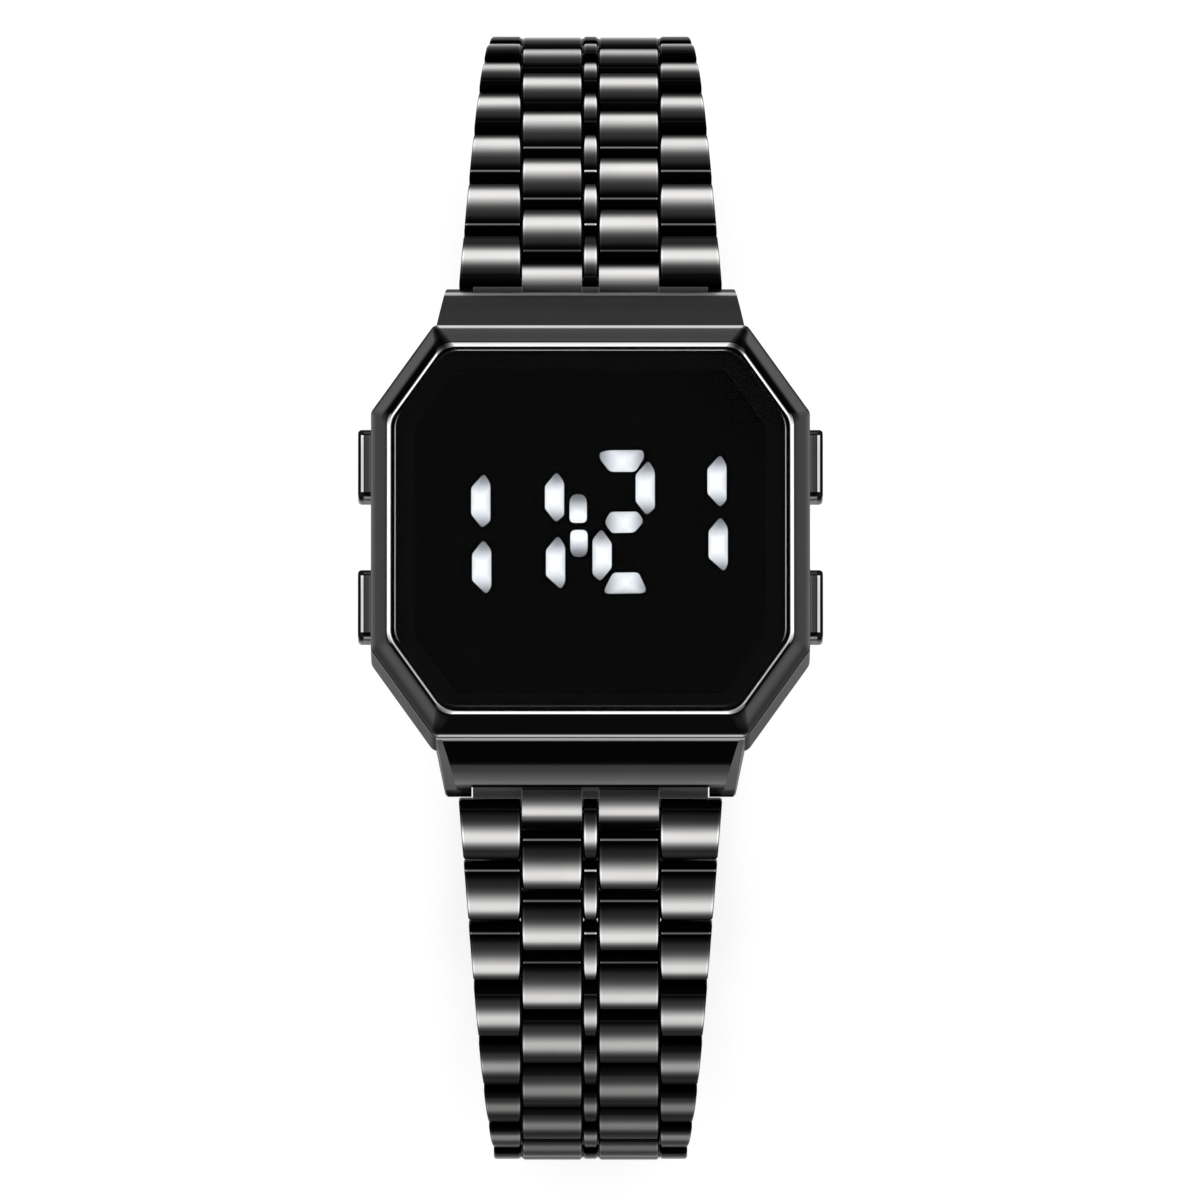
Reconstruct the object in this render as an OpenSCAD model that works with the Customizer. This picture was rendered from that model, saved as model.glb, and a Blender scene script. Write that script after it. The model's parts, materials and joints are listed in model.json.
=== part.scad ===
// Digital wristwatch: octagonal hooded case, dark glass over a seven-segment display,
// four side pushers, a tapering five-column link bracelet and a folding clasp.
// Millimetres. +Z is the dial's outward normal, +Y points to 12 o'clock and +X to 3 o'clock.
// The watch is buckled shut and stands on its clasp; the origin is on the ground under the case.

/* [Case] */
// Width of the case between its 9 and 3 o'clock sides
case_width = 33.6; // [32:0.2:36]
// Length of the case between its 12 and 6 o'clock sides, without the hoods
case_length = 32; // [31:0.2:34]
// Depth of the middle case from the bezel's seat to its underside
case_depth = 6.3; // [6.2:0.1:7]
// Length that each cut corner takes off the width
corner_cut_x = 4.8; // [4:0.1:5.6]
// Length that each cut corner takes off the 9 and 3 o'clock sides
corner_cut_y = 6.75; // [6:0.1:7.4]
// Radius that softens the corners of the octagon
corner_radius = 0.9; // [0.4:0.1:1.4]
// Wall round the movement space
case_wall = 3.2; // [3:0.1:3.6]
// Thickness of the case's front shelf under the glass
shelf_thickness = 0.9; // [0.8:0.1:1.2]
// How far the front shelf reaches in past the wall
shelf_lip = 0.4; // [0.3:0.1:0.8]

/* [Bezel and glass] */
// Height of the bezel's crest above its seat
bezel_height = 1.5; // [1.2:0.1:1.8]
// Height of the upright foot at the bezel's outer edge
bezel_foot = 0.25; // [0.15:0.05:0.5]
// Width of the bezel's sloping band on the 9 and 3 o'clock sides
bezel_band_x = 1.27; // [1.1:0.01:1.5]
// Width of the bezel's sloping band on the 12 and 6 o'clock sides
bezel_band_y = 1.47; // [1.3:0.01:1.7]
// Width of the polished chamfer inside the band
bezel_chamfer = 0.3; // [0.2:0.05:0.4]
// Thickness of the glass
glass_thickness = 1.5; // [1.3:0.1:1.7]
// Width and drop of the bevel round the glass
glass_bevel = 0.3; // [0.2:0.05:0.5]
// Thickness of the gasket under the glass
glass_gasket = 0.15; // [0.1:0.05:0.3]

/* [Display] */
// Width of one digit's cell
digit_width = 4.82; // [4.4:0.02:5]
// Height of one digit
digit_height = 11.1; // [10.4:0.1:11.6]
// Width of a segment's bar
segment_width = 1.45; // [1.2:0.05:1.6]
// Gap between the tips of neighbouring segments
segment_gap = 0.32; // [0.2:0.02:0.5]
// Thickness of the display mask
mask_thickness = 0.8; // [0.6:0.1:0.8]

/* [Movement] */
// Thickness of the circuit board
board_thickness = 0.8; // [0.6:0.1:1]
// Depth of the movement frame
frame_depth = 3.4; // [3.4:0.1:3.5]
// Radius of the coin cell
cell_radius = 10; // [8:0.5:10.5]
// Height of the coin cell
cell_height = 3.2; // [2:0.2:3.2]
// Thickness of the battery strap
strap_thickness = 0.2; // [0.15:0.05:0.25]

/* [Case back] */
// Thickness of the case back
back_thickness = 0.9; // [0.8:0.1:1]
// How far the case back stands proud of the middle case
back_proud = 0.5; // [0.3:0.1:0.6]
// Margin between the case back and the case's outline
back_margin = 0.8; // [0.6:0.1:1]
// Radius of the case back screws
screw_radius = 0.5; // [0.4:0.05:0.55]

/* [Pushers] */
// Distance of the pushers from the case's middle, toward 12 and 6 o'clock
pusher_offset = 5.45; // [5:0.05:5.6]
// Length of a pusher's cap along the case side
pusher_length = 5.5; // [4.5:0.1:5.8]
// Height of a pusher's cap
pusher_height = 3.3; // [2.8:0.1:3.5]
// How far a pusher's cap stands out of the case side
pusher_proud = 1; // [0.7:0.05:1.3]
// Inward travel of a pusher
pusher_travel = 0.6; // [0.4:0.05:0.7]
// Depth of a pusher's cap behind the case side
pusher_sunk = 0.9; // [0.7:0.05:1]
// Radius of a pusher's stem
stem_radius = 0.6; // [0.5:0.05:0.65]

/* [Bracelet] */
// Distance between two rows of links
pitch = 4.8; // [4.6:0.05:5]
// Width of the bracelet at the case
bracelet_width = 20.2; // [19.8:0.1:20.6]
// Width of the bracelet where its taper ends
bracelet_end_width = 14.9; // [14.6:0.1:15.4]
// Number of rows over which the bracelet tapers
taper_rows = 7; // [5:1:9]
// Width of the narrow centre column
centre_width = 1.1; // [0.9:0.05:1.3]
// Width of each column beside the centre
mid_width = 4.6; // [4.4:0.05:4.7]
// Side gap between two columns
column_gap = 0.1; // [0.08:0.01:0.14]
// Gap between two links in one column
row_gap = 0.15; // [0.12:0.01:0.2]
// Height of a link's crown above its pins
crown_height = 1.4; // [1.25:0.05:1.45]
// Fall of the crown from the middle of a link to its shoulders
crown_fall = 0.42; // [0.3:0.02:0.5]
// Radius of the bracelet's pins
pin_radius = 0.4; // [0.35:0.01:0.45]

/* [End links] */
// Width between the lugs, which takes the end link
lug_width = 18.2; // [18:0.05:18.4]
// Distance from the spring bar to the first row's pin
end_link_reach = 3.3; // [3.3:0.05:3.5]
// Radius of a spring bar
bar_radius = 0.75; // [0.6:0.05:0.8]
// Radius of a spring bar's tips
bar_tip_radius = 0.4; // [0.35:0.01:0.45]
// Wall of the end link round its spring bar
knuckle_wall = 0.4; // [0.3:0.05:0.45]
// Width of a hood where it leaves the case
hood_width = 23.6; // [23.2:0.1:24]
// Width of a hood at its outer end
hood_end_width = 22; // [21.6:0.1:22.4]

/* [Clasp] */
// Thickness of the two folding blades
blade_thickness = 0.8; // [0.7:0.05:0.9]
// Width of the folding blades
blade_width = 12.4; // [11.6:0.1:12.8]
// Thickness of the cover's plate
cover_thickness = 0.9; // [0.8:0.05:1]
// Thickness of the cover's side walls
cover_wall = 0.8; // [0.7:0.05:1]
// Side clearance between the cover's walls and the last links
cover_clearance = 0.4; // [0.35:0.05:0.6]
// Gap between the folded layers of the clasp
layer_gap = 0.2; // [0.15:0.05:0.25]

/* [Hidden] */

$fn = 48;

// Colours of the finishes
GUNMETAL = [0.16, 0.155, 0.15];
POLISHED = [0.3, 0.29, 0.28];
GLASS = [0.03, 0.03, 0.035];
LIT = [0.93, 0.95, 0.97];

// Clearances that every fit takes
running_fit = 0.04;
seated_fit = 0.015;
touch_gap = 0.05;
free_gap = 0.1;

// Rows of links on each side of the case
rows = 13;
// Slope of the rows below the level of the case, as [row, degrees], read between by straight lines
slope_keys = [[1, 23], [2, 24], [3, 31], [4, 42], [7, 81], [10, 131], [13, 174]];
// The first row's pin from the middle of the case's seat plane, as [Y, Z]
first_pin_out = 4.72;
first_pin_drop = 6.15;

// Link measures
quarter = pitch / 4;
end_radius = quarter - row_gap / 2;
half_link = 2 * quarter - row_gap / 2;
centre_half = centre_width / 2;
mid_inner = centre_half + column_gap;
mid_outer = mid_inner + mid_width;
outer_inner = mid_outer + column_gap;
shoulder_radius = 0.3;
pin_end_inset = 0.3;

// Crown arc and shoulder arcs of a link's section
crown_radius = (half_link * half_link + crown_fall * crown_fall) / (2 * crown_fall);
crown_centre = crown_height - crown_radius;
shoulder_out = half_link - shoulder_radius;
shoulder_up = crown_centre + sqrt(pow(crown_radius - shoulder_radius, 2) - pow(shoulder_out, 2));
crown_meet = shoulder_out * crown_radius / (crown_radius - shoulder_radius);

// Slope of one row, and the pin at its case end, as [Y, Z] from the case's seat plane
function row_slope(i) = lookup(1 + (i - 1) * 12 / (rows - 1), slope_keys);
function row_way(i) = [cos(row_slope(i)), -sin(row_slope(i))];
function row_pin(i) = i == 1
    ? [case_length / 2 + first_pin_out, -first_pin_drop]
    : row_pin(i - 1) + pitch * row_way(i - 1);

// Half the bracelet's width, counted in rows from the case
function half_width(t) = max(bracelet_end_width,
    bracelet_width - (bracelet_width - bracelet_end_width) * t / taper_rows) / 2;

// Clasp measures: A links the 12 side, B folds the blades, C hinges the cover, D takes the 6 side
blade_step = blade_thickness + layer_gap;
fold_radius = blade_thickness + layer_gap / 2;
fold_z = cover_thickness + layer_gap + fold_radius;
middle_z = fold_z - blade_step / 2;
inner_z = fold_z + blade_step / 2;
cover_knuckle = 0.8;
cover_pin_z = middle_z + blade_thickness / 2 + touch_gap * 2 - cover_knuckle;
pin_line_z = fold_z + 0.15;
clasp_half = row_pin(rows + 1)[0];
link_pin_y = clasp_half;
bar_pin_y = -clasp_half;
cover_pin_y = link_pin_y - 3.2;
crotch_gap = 2.4;
plate_end_y = bar_pin_y + end_radius + crotch_gap;
fold_y = plate_end_y + 1;
plate_start_y = cover_pin_y - 1;
cover_inner = half_width(rows) + cover_clearance;
cover_outer = cover_inner + cover_wall;
lug_knuckle = 1;
lug_length = 1.75;

// Height of the case's seat plane above the ground
seat_z = pin_line_z - row_pin(rows + 1)[1];

// Hood and spring bar, as [Y, Z] from the case's seat plane
hood_slope = row_slope(1);
bar_at = row_pin(1) - end_link_reach * row_way(1);
knuckle_radius = bar_radius + running_fit + knuckle_wall;
hood_start_slope = 22;
hood_tip = [case_length / 2 + 3.7, -4.6];
hood_start = [case_length / 2, -0.12];
hood_chord = norm(hood_tip - hood_start);
hood_chord_slope = atan2(hood_start[1] - hood_tip[1], hood_tip[0] - hood_start[0]);
hood_radius = hood_chord / (2 * sin(hood_chord_slope - hood_start_slope));
hood_centre = hood_start - hood_radius * [sin(hood_start_slope), cos(hood_start_slope)];
hood_lip_out = 3.14;
ear_gap = 0.25;
tab_half = lug_width / 2 - free_gap;
tab_top = 0.95;
slot_top = tab_top + 0.25;

// Octagon outlines: an inset for the sides, the ends and the cut corners
cut_length = norm([corner_cut_x, corner_cut_y]);
cut_normal = [corner_cut_y, corner_cut_x] / cut_length;
cut_reach = cut_normal[0] * case_width / 2 + cut_normal[1] * (case_length / 2 - corner_cut_y);

function octagon(inset_x, inset_y) =
    let (hx = case_width / 2 - inset_x,
         hy = case_length / 2 - inset_y,
         reach = cut_reach - (inset_x + inset_y) / 2,
         y1 = (reach - cut_normal[0] * hx) / cut_normal[1],
         x1 = (reach - cut_normal[1] * hy) / cut_normal[0])
    [[hx, y1], [x1, hy], [-x1, hy], [-hx, y1], [-hx, -y1], [-x1, -hy], [x1, -hy], [hx, -y1]];

// Corner arc of a convex outline at point b, between its neighbours a and c
function corner_arc(a, b, c, radius, steps) =
    let (u = (a - b) / norm(a - b),
         v = (c - b) / norm(c - b),
         half = acos(u * v) / 2,
         centre = b + (u + v) / norm(u + v) * radius / sin(half),
         start = b + u * radius / tan(half) - centre,
         turn = 180 - 2 * half)
    [for (k = [0 : steps])
        let (angle = turn * k / steps)
        centre + [start[0] * cos(angle) - start[1] * sin(angle),
                  start[0] * sin(angle) + start[1] * cos(angle)]];

function rounded(points, radius, steps = 4) =
    let (n = len(points))
    [for (i = [0 : n - 1])
        each corner_arc(points[(i + n - 1) % n], points[i], points[(i + 1) % n], radius, steps)];

function case_outline(inset_x, inset_y, radius = corner_radius) =
    rounded(octagon(inset_x, inset_y), radius);

// Solid through octagon outlines, each layer [height, inset at the sides, inset at the ends]
module octagon_loft(layers, radius) {
    rings = [for (layer = layers) case_outline(layer[1], layer[2], radius)];
    n = len(rings[0]);
    m = len(layers);
    points = [for (j = [0 : m - 1]) for (p = rings[j]) [p[0], p[1], layers[j][0]]];
    sides = [for (j = [0 : m - 2]) for (i = [0 : n - 1])
        [j * n + i, (j + 1) * n + i, (j + 1) * n + (i + 1) % n, j * n + (i + 1) % n]];
    polyhedron(points, concat(
        [[for (i = [0 : n - 1]) i]],
        [[for (i = [n - 1 : -1 : 0]) (m - 1) * n + i]],
        sides));
}

// Closed ring whose section [height, inset at the sides, inset at the ends] follows the octagon
module octagon_ring(section, radius) {
    rings = [for (layer = section) case_outline(layer[1], layer[2], radius)];
    n = len(rings[0]);
    m = len(section);
    points = [for (j = [0 : m - 1]) for (p = rings[j]) [p[0], p[1], section[j][0]]];
    polyhedron(points, [for (j = [0 : m - 1]) for (i = [0 : n - 1])
        [j * n + i, ((j + 1) % m) * n + i, ((j + 1) % m) * n + (i + 1) % n, j * n + (i + 1) % n]]);
}

module octagon_slab(bottom, top, inset, radius = corner_radius) {
    translate([0, 0, bottom])
        linear_extrude(top - bottom)
            polygon(case_outline(inset, inset, radius));
}

// A section drawn as [Y, Z] and carried along X from one place to another
module along_x(from, to) {
    translate([from, 0, 0])
        rotate([90, 0, 90])
            linear_extrude(to - from)
                children();
}

module both_sides() {
    children();
    mirror([1, 0, 0]) children();
}

module rod(radius, from, to, at) {
    translate([from, at[0], at[1]])
        rotate([0, 90, 0])
            cylinder(r = radius, h = to - from);
}

// Rounded rectangle from squares and circles, so that its corners stay true arcs
module soft_rectangle(width, height, radius) {
    square([width - 2 * radius, height], center = true);
    square([width, height - 2 * radius], center = true);
    for (x = [-1, 1], y = [-1, 1])
        translate([x * (width / 2 - radius), y * (height / 2 - radius)])
            circle(r = radius);
}

module at_seat() {
    translate([0, 0, seat_z]) children();
}

// Case

module hood_block() {
    ear_end = end_link_reach - end_radius - ear_gap;
    intersection() {
        along_x(-hood_width / 2, hood_width / 2)
            difference() {
                intersection() {
                    translate(hood_centre)
                        circle(r = hood_radius, $fn = 96);
                    translate([case_length / 2 - 3, -case_depth])
                        square([12, case_depth]);
                }
                translate(bar_at)
                    rotate(-hood_slope)
                        translate([ear_end, -10])
                            square([10, 20]);
            }
        translate([0, 0, -case_depth - 1])
            linear_extrude(case_depth + 2)
                polygon(rounded([
                    [-hood_width / 2, case_length / 2 - 3.5],
                    [hood_width / 2, case_length / 2 - 3.5],
                    [hood_width / 2, case_length / 2],
                    [hood_end_width / 2, case_length / 2 + 3.9],
                    [-hood_end_width / 2, case_length / 2 + 3.9],
                    [-hood_width / 2, case_length / 2]], 0.6));
    }
}

module hood_slot() {
    along_x(-lug_width / 2, lug_width / 2) {
        translate(bar_at)
            circle(r = knuckle_radius + 0.15);
        translate(bar_at)
            rotate(-hood_slope)
                translate([0, -6])
                    square([8, 6 + slot_top]);
        translate([case_length / 2 + hood_lip_out, -8])
            square([6, 8]);
    }
    both_sides()
        rod(bar_tip_radius + running_fit, lug_width / 2 - 0.1, lug_width / 2 + 1.1, bar_at);
}

// Places of the pushers' axes on the side walls
pusher_z = -(pusher_height / 2 + shelf_thickness);
pocket_floor = case_width / 2 - pusher_sunk - pusher_travel - free_gap;
spring_seat = pocket_floor - 1;
wall_inner = case_width / 2 - case_wall;
spring_room = 1.25;

module pusher_hollow() {
    translate([0, pusher_offset, pusher_z]) {
        rotate([90, 0, 90]) {
            translate([0, 0, pocket_floor])
                linear_extrude(case_width)
                    soft_rectangle(pusher_length + 2 * free_gap, pusher_height + 2 * free_gap, 0.9);
            translate([0, 0, spring_seat])
                cylinder(r = spring_room, h = case_width);
            translate([0, 0, wall_inner - 1])
                cylinder(r = stem_radius + running_fit, h = case_width);
        }
    }
}

module four_corners() {
    for (x = [0, 1], y = [0, 1])
        mirror([x, 0, 0])
            mirror([0, y, 0])
                children();
}

// Middle of a cut corner, drawn in from the outline
function corner_middle(inset) =
    let (outline = octagon(inset, inset))
    (outline[0] + outline[1]) / 2;

screw_inset = 1.75;
back_seat = -case_depth + back_thickness - back_proud;
groove_depth = 0.35;
groove_outer = case_wall - 0.75;
groove_inner = case_wall - 0.25;
cavity_top = -shelf_thickness;

module case_body() {
    color(GUNMETAL) at_seat() difference() {
        union() {
            octagon_slab(-case_depth, 0, 0);
            hood_block();
            mirror([0, 1, 0]) hood_block();
        }
        hood_slot();
        mirror([0, 1, 0]) hood_slot();
        octagon_slab(-case_depth - 1, cavity_top, case_wall);
        octagon_slab(cavity_top - 1, 1, case_wall + shelf_lip);
        octagon_slab(-case_depth - 1, back_seat, back_margin);
        difference() {
            octagon_slab(back_seat - 1, back_seat + groove_depth, groove_outer);
            octagon_slab(back_seat - 2, back_seat + groove_depth + 1, groove_inner);
        }
        four_corners() {
            pusher_hollow();
            translate([corner_middle(screw_inset)[0], corner_middle(screw_inset)[1], back_seat - 1])
                cylinder(r = screw_radius + seated_fit, h = 3.2);
        }
    }
}

bezel_inner_x = bezel_band_x + bezel_chamfer;
bezel_inner_y = bezel_band_y + bezel_chamfer;

module bezel() {
    color(POLISHED) at_seat() octagon_ring([
        [0, 0.04, 0.04],
        [0.06, 0, 0],
        [bezel_foot, 0, 0],
        [bezel_height - 0.06, bezel_band_x - 0.06, bezel_band_y - 0.06],
        [bezel_height, bezel_band_x, bezel_band_y],
        [bezel_height - bezel_chamfer, bezel_inner_x, bezel_inner_y],
        [0, bezel_inner_x, bezel_inner_y]
    ], corner_radius);
}

glass_inset_x = bezel_inner_x + touch_gap;
glass_inset_y = bezel_inner_y + touch_gap;

module crystal() {
    color(GLASS) at_seat() octagon_loft([
        [glass_gasket, glass_inset_x, glass_inset_y],
        [glass_gasket + glass_thickness - glass_bevel, glass_inset_x, glass_inset_y],
        [glass_gasket + glass_thickness, glass_inset_x + glass_bevel, glass_inset_y + glass_bevel]
    ], corner_radius);
}

module crystal_gasket() {
    color([0.05, 0.05, 0.05]) at_seat() difference() {
        octagon_slab(0, glass_gasket, glass_inset_y + 0.1);
        octagon_slab(-1, 1, case_wall + shelf_lip - 0.2);
    }
}

// Display

mask_inset = case_wall + shelf_lip + free_gap;
segment_fit = 0.04;
colon_size = [1.34, 2.25];
colon_gap = 0.5;
// Width that digits and colon leave free, and its shares: left of the first digit, after the first,
// on each side of the colon, after the third; the rest is right of the last
window_half = case_width / 2 - mask_inset;
spare_width = 2 * window_half - 4 * digit_width - colon_size[0];
spare_shares = [0.125, 0.151, 0.066, 0.065, 0.136];
digit_1_x = -window_half + spare_width * spare_shares[0] + digit_width / 2;
digit_2_x = digit_1_x + digit_width + spare_width * spare_shares[1];
colon_x = digit_2_x + digit_width / 2 + spare_width * spare_shares[2] + colon_size[0] / 2;
digit_3_x = colon_x + colon_size[0] / 2 + spare_width * spare_shares[3] + digit_width / 2;
digit_4_x = digit_3_x + digit_width + spare_width * spare_shares[4];
// The digits step up a little from left to right
digit_places = [[digit_1_x, -0.2], [digit_2_x, 0], [digit_3_x, 0.75], [digit_4_x, 1.4]];
colon_place = [colon_x, 0.45];
// Segments that are lit in each digit, in the order top, upper right, lower right, bottom,
// lower left, upper left, middle: the time shown is 11:21
digit_lit = [[0, 1, 1, 0, 0, 0, 0], [0, 1, 1, 0, 0, 0, 0], [1, 1, 0, 1, 1, 0, 1], [0, 1, 1, 0, 0, 0, 0]];

bar_length = digit_height / 2 - segment_gap * 2 - segment_width * 0.5;

// Upper right bar: its outer edge is straight and both tips lean toward that edge
module upright_bar(shrink) {
    half = bar_length / 2;
    out = segment_width / 2 - shrink;
    tip = half - shrink;
    polygon([
        [out, tip - 0.45], [out - 0.35, tip], [out - 0.75, tip - 0.15],
        [-out, tip - 1.1], [-out, -tip + 0.9],
        [out - 0.75, -tip + 0.1], [out - 0.4, -tip], [out, -tip + 0.4]
    ]);
}

// Top bar: long outer edge, short inner edge
module cross_bar(shrink) {
    half = (digit_width - segment_width) / 2 - shrink;
    rise = segment_width / 2 + 0.1 - shrink;
    polygon([
        [-half, rise - 0.15], [-half + 0.2, rise], [half - 0.2, rise], [half, rise - 0.15],
        [half - 0.9, -rise + 0.1], [half - 1.05, -rise], [-half + 1.05, -rise], [-half + 0.9, -rise + 0.1]
    ]);
}

module middle_bar(shrink) {
    half = (digit_width - segment_width) / 2 - 0.28 - shrink;
    rise = segment_width / 2 + 0.1 - shrink;
    polygon([
        [-half, 0], [-half + 0.55, rise], [half - 0.55, rise],
        [half, 0], [half - 0.55, -rise], [-half + 0.55, -rise]
    ]);
}

module segment(index, shrink) {
    side = (digit_width - segment_width) / 2;
    level = (digit_height - segment_width) / 2;
    bar_level = digit_height / 4;
    if (index == 0) translate([0, level]) cross_bar(shrink);
    if (index == 1) translate([side, bar_level]) upright_bar(shrink);
    if (index == 2) translate([side, -bar_level]) mirror([0, 1]) upright_bar(shrink);
    if (index == 3) translate([0, -level]) mirror([0, 1]) cross_bar(shrink);
    if (index == 4) translate([-side, -bar_level]) mirror([1, 0]) mirror([0, 1]) upright_bar(shrink);
    if (index == 5) translate([-side, bar_level]) mirror([1, 0]) upright_bar(shrink);
    if (index == 6) middle_bar(shrink);
}

module digits(wanted, shrink) {
    for (d = [0 : 3], s = [0 : 6])
        if (wanted == 2 || digit_lit[d][s] == wanted)
            translate(digit_places[d])
                segment(s, shrink);
    if (wanted > 0)
        for (end = [-1, 1])
            translate([colon_place[0], colon_place[1] + end * (colon_size[1] + colon_gap) / 2])
                soft_rectangle(colon_size[0] - 2 * shrink, colon_size[1] - 2 * shrink, 0.45);
}

module display_mask() {
    color([0.02, 0.02, 0.02]) at_seat() difference() {
        octagon_slab(-mask_thickness, 0, mask_inset);
        translate([0, 0, -mask_thickness - 1])
            linear_extrude(mask_thickness + 2)
                digits(2, 0);
    }
}

module segment_set(wanted) {
    at_seat()
        translate([0, 0, -mask_thickness])
            linear_extrude(mask_thickness - 0.05)
                digits(wanted, segment_fit);
}

module lit_segments() {
    color(LIT) segment_set(1);
}

module unlit_segments() {
    color([0.06, 0.06, 0.07]) segment_set(0);
}

// Movement

module_inset = case_wall + 2 * free_gap;
board_top = -max(mask_thickness, shelf_thickness) - touch_gap;
board_bottom = board_top - board_thickness;
frame_top = board_bottom - touch_gap;
frame_bottom = frame_top - frame_depth;
contact_inner = wall_inner - 1.65;
contact_thickness = 0.15;
notch_inner = contact_inner - 0.3;
board_notch = contact_inner + contact_thickness + 2 * free_gap;

// Board, notched where the clips on the pushers' stems come in
module circuit_board() {
    notch_half = clip_radius + free_gap;
    color([0.05, 0.22, 0.12]) at_seat() difference() {
        octagon_slab(board_bottom, board_top, module_inset);
        four_corners()
            translate([board_notch, pusher_offset - notch_half, board_bottom - 1])
                cube([case_width, 2 * notch_half, board_thickness + 2]);
    }
}

// Leaf contacts that the pushers' stems press
module contact_springs() {
    color([0.75, 0.62, 0.35]) at_seat() four_corners() {
        translate([contact_inner, pusher_offset - 0.8, board_bottom - 1.7])
            cube([contact_thickness, 1.6, 1.7]);
        translate([contact_inner - 0.25, pusher_offset - 0.8, board_bottom - 0.2])
            cube([0.3, 1.6, 0.2]);
    }
}

module module_frame() {
    color([0.12, 0.12, 0.13]) at_seat() difference() {
        octagon_slab(frame_bottom, frame_top, module_inset);
        translate([0, 0, frame_bottom - 1])
            cylinder(r = cell_radius + free_gap, h = cell_height + free_gap + 1, $fn = 96);
        four_corners() {
            translate([notch_inner, pusher_offset - 1.4, frame_bottom - 1])
                cube([case_width, 2.8, frame_depth + 2]);
            translate([strap_screw_x, 0, frame_bottom - 1])
                cylinder(r = strap_screw_radius + seated_fit, h = 2);
        }
    }
}

cell_bottom = frame_bottom;
cup_depth = 0.25;

module battery_cell() {
    color([0.7, 0.7, 0.7]) at_seat()
        translate([0, 0, cell_bottom])
            rotate_extrude($fn = 96)
                polygon([
                    [0, 0], [cell_radius - 0.2, 0], [cell_radius, 0.2],
                    [cell_radius, cell_height - cup_depth - 0.3],
                    [cell_radius - 0.3, cell_height - cup_depth],
                    [cell_radius - 1.1, cell_height - cup_depth],
                    [cell_radius - 1.3, cell_height], [0, cell_height]
                ]);
}

strap_screw_x = wall_inner - 1.8;
strap_screw_radius = 0.4;
strap_width = 4;

module battery_strap() {
    color([0.55, 0.55, 0.56]) at_seat() {
        difference() {
            translate([0, 0, frame_bottom - strap_thickness])
                linear_extrude(strap_thickness)
                    soft_rectangle(2 * (strap_screw_x + 1.2), strap_width, 0.8);
            both_sides()
                translate([strap_screw_x, 0, frame_bottom - 1])
                    cylinder(r = strap_screw_radius + seated_fit, h = 2);
        }
        both_sides()
            translate([strap_screw_x, 0, frame_bottom - strap_thickness]) {
                cylinder(r = strap_screw_radius, h = 1);
                translate([0, 0, -0.25])
                    cylinder(r = 0.75, h = 0.25);
            }
    }
}

// Case back

head_radius = screw_radius + 0.4;
head_depth = 0.5;

module case_back() {
    color(POLISHED) at_seat() difference() {
        octagon_slab(back_seat - back_thickness, back_seat, back_margin + touch_gap);
        four_corners()
            translate([corner_middle(screw_inset)[0], corner_middle(screw_inset)[1], back_seat - back_thickness - 1]) {
                cylinder(r = screw_radius + seated_fit, h = 3);
                cylinder(r = head_radius + touch_gap, h = 1 + head_depth);
            }
    }
}

module back_gasket() {
    color([0.05, 0.05, 0.05]) at_seat() difference() {
        octagon_slab(back_seat, back_seat + groove_depth - touch_gap, groove_outer + touch_gap);
        octagon_slab(back_seat - 1, back_seat + 2, groove_inner - touch_gap);
    }
}

module back_screws() {
    color([0.4, 0.4, 0.4]) at_seat() four_corners()
        translate([corner_middle(screw_inset)[0], corner_middle(screw_inset)[1], back_seat - back_thickness])
            difference() {
                union() {
                    cylinder(r = head_radius, h = head_depth);
                    cylinder(r = screw_radius, h = back_thickness + 2);
                }
                translate([-0.1, -head_radius - 1, -1])
                    cube([0.2, 2 * head_radius + 2, 1.2]);
            }
}

// Pushers: a cap with softened edges, its stem and the clip that keeps it in

clip_radius = 1.05;
clip_thickness = 0.2;
cap_soft = 0.45;
cap_back = case_width / 2 - pusher_sunk;
cap_front = case_width / 2 + pusher_proud;
clip_front = wall_inner - free_gap;
stem_end = clip_front - clip_thickness - 0.4;

module pusher() {
    cap_depth = cap_front - cap_back;
    translate([0, pusher_offset, pusher_z]) {
        intersection() {
            rotate([90, 0, 90])
                translate([0, 0, cap_back])
                    linear_extrude(cap_depth)
                        soft_rectangle(pusher_length, pusher_height, 0.8);
            translate([cap_back + cap_depth / 2 - 1, 0, -pusher_height])
                linear_extrude(2 * pusher_height)
                    soft_rectangle(cap_depth + 2, pusher_length + 0.02, cap_soft);
            translate([cap_back + cap_depth / 2 - 1, pusher_length, 0])
                rotate([90, 0, 0])
                    linear_extrude(2 * pusher_length)
                        soft_rectangle(cap_depth + 2, pusher_height + 0.02, cap_soft);
        }
        rotate([0, 90, 0]) {
            translate([0, 0, clip_front])
                cylinder(r = stem_radius, h = cap_back - clip_front + 0.01);
            translate([0, 0, clip_front - clip_thickness])
                cylinder(r = stem_radius - 0.15, h = clip_thickness + 0.02);
            translate([0, 0, stem_end])
                cylinder(r = stem_radius, h = clip_front - clip_thickness - stem_end);
        }
    }
}

module stem_clip() {
    translate([clip_front - clip_thickness + 0.01, pusher_offset, pusher_z])
        rotate([0, 90, 0])
            difference() {
                cylinder(r = clip_radius, h = clip_thickness - 0.02);
                translate([0, 0, -1])
                    cylinder(r = stem_radius - 0.15 + seated_fit, h = 3);
                translate([0, -(stem_radius - 0.15 - 0.05), -1])
                    cube([2 * clip_radius, 2 * (stem_radius - 0.15 - 0.05), 3]);
            }
}

module pusher_at(x, y) {
    mirror([x, 0, 0]) mirror([0, y, 0]) {
        color(POLISHED) at_seat() pusher();
        color([0.5, 0.5, 0.5]) at_seat() stem_clip();
    }
}

module pusher_2() { pusher_at(0, 0); }
module pusher_4() { pusher_at(0, 1); }
module pusher_8() { pusher_at(1, 1); }
module pusher_10() { pusher_at(1, 0); }

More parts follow.
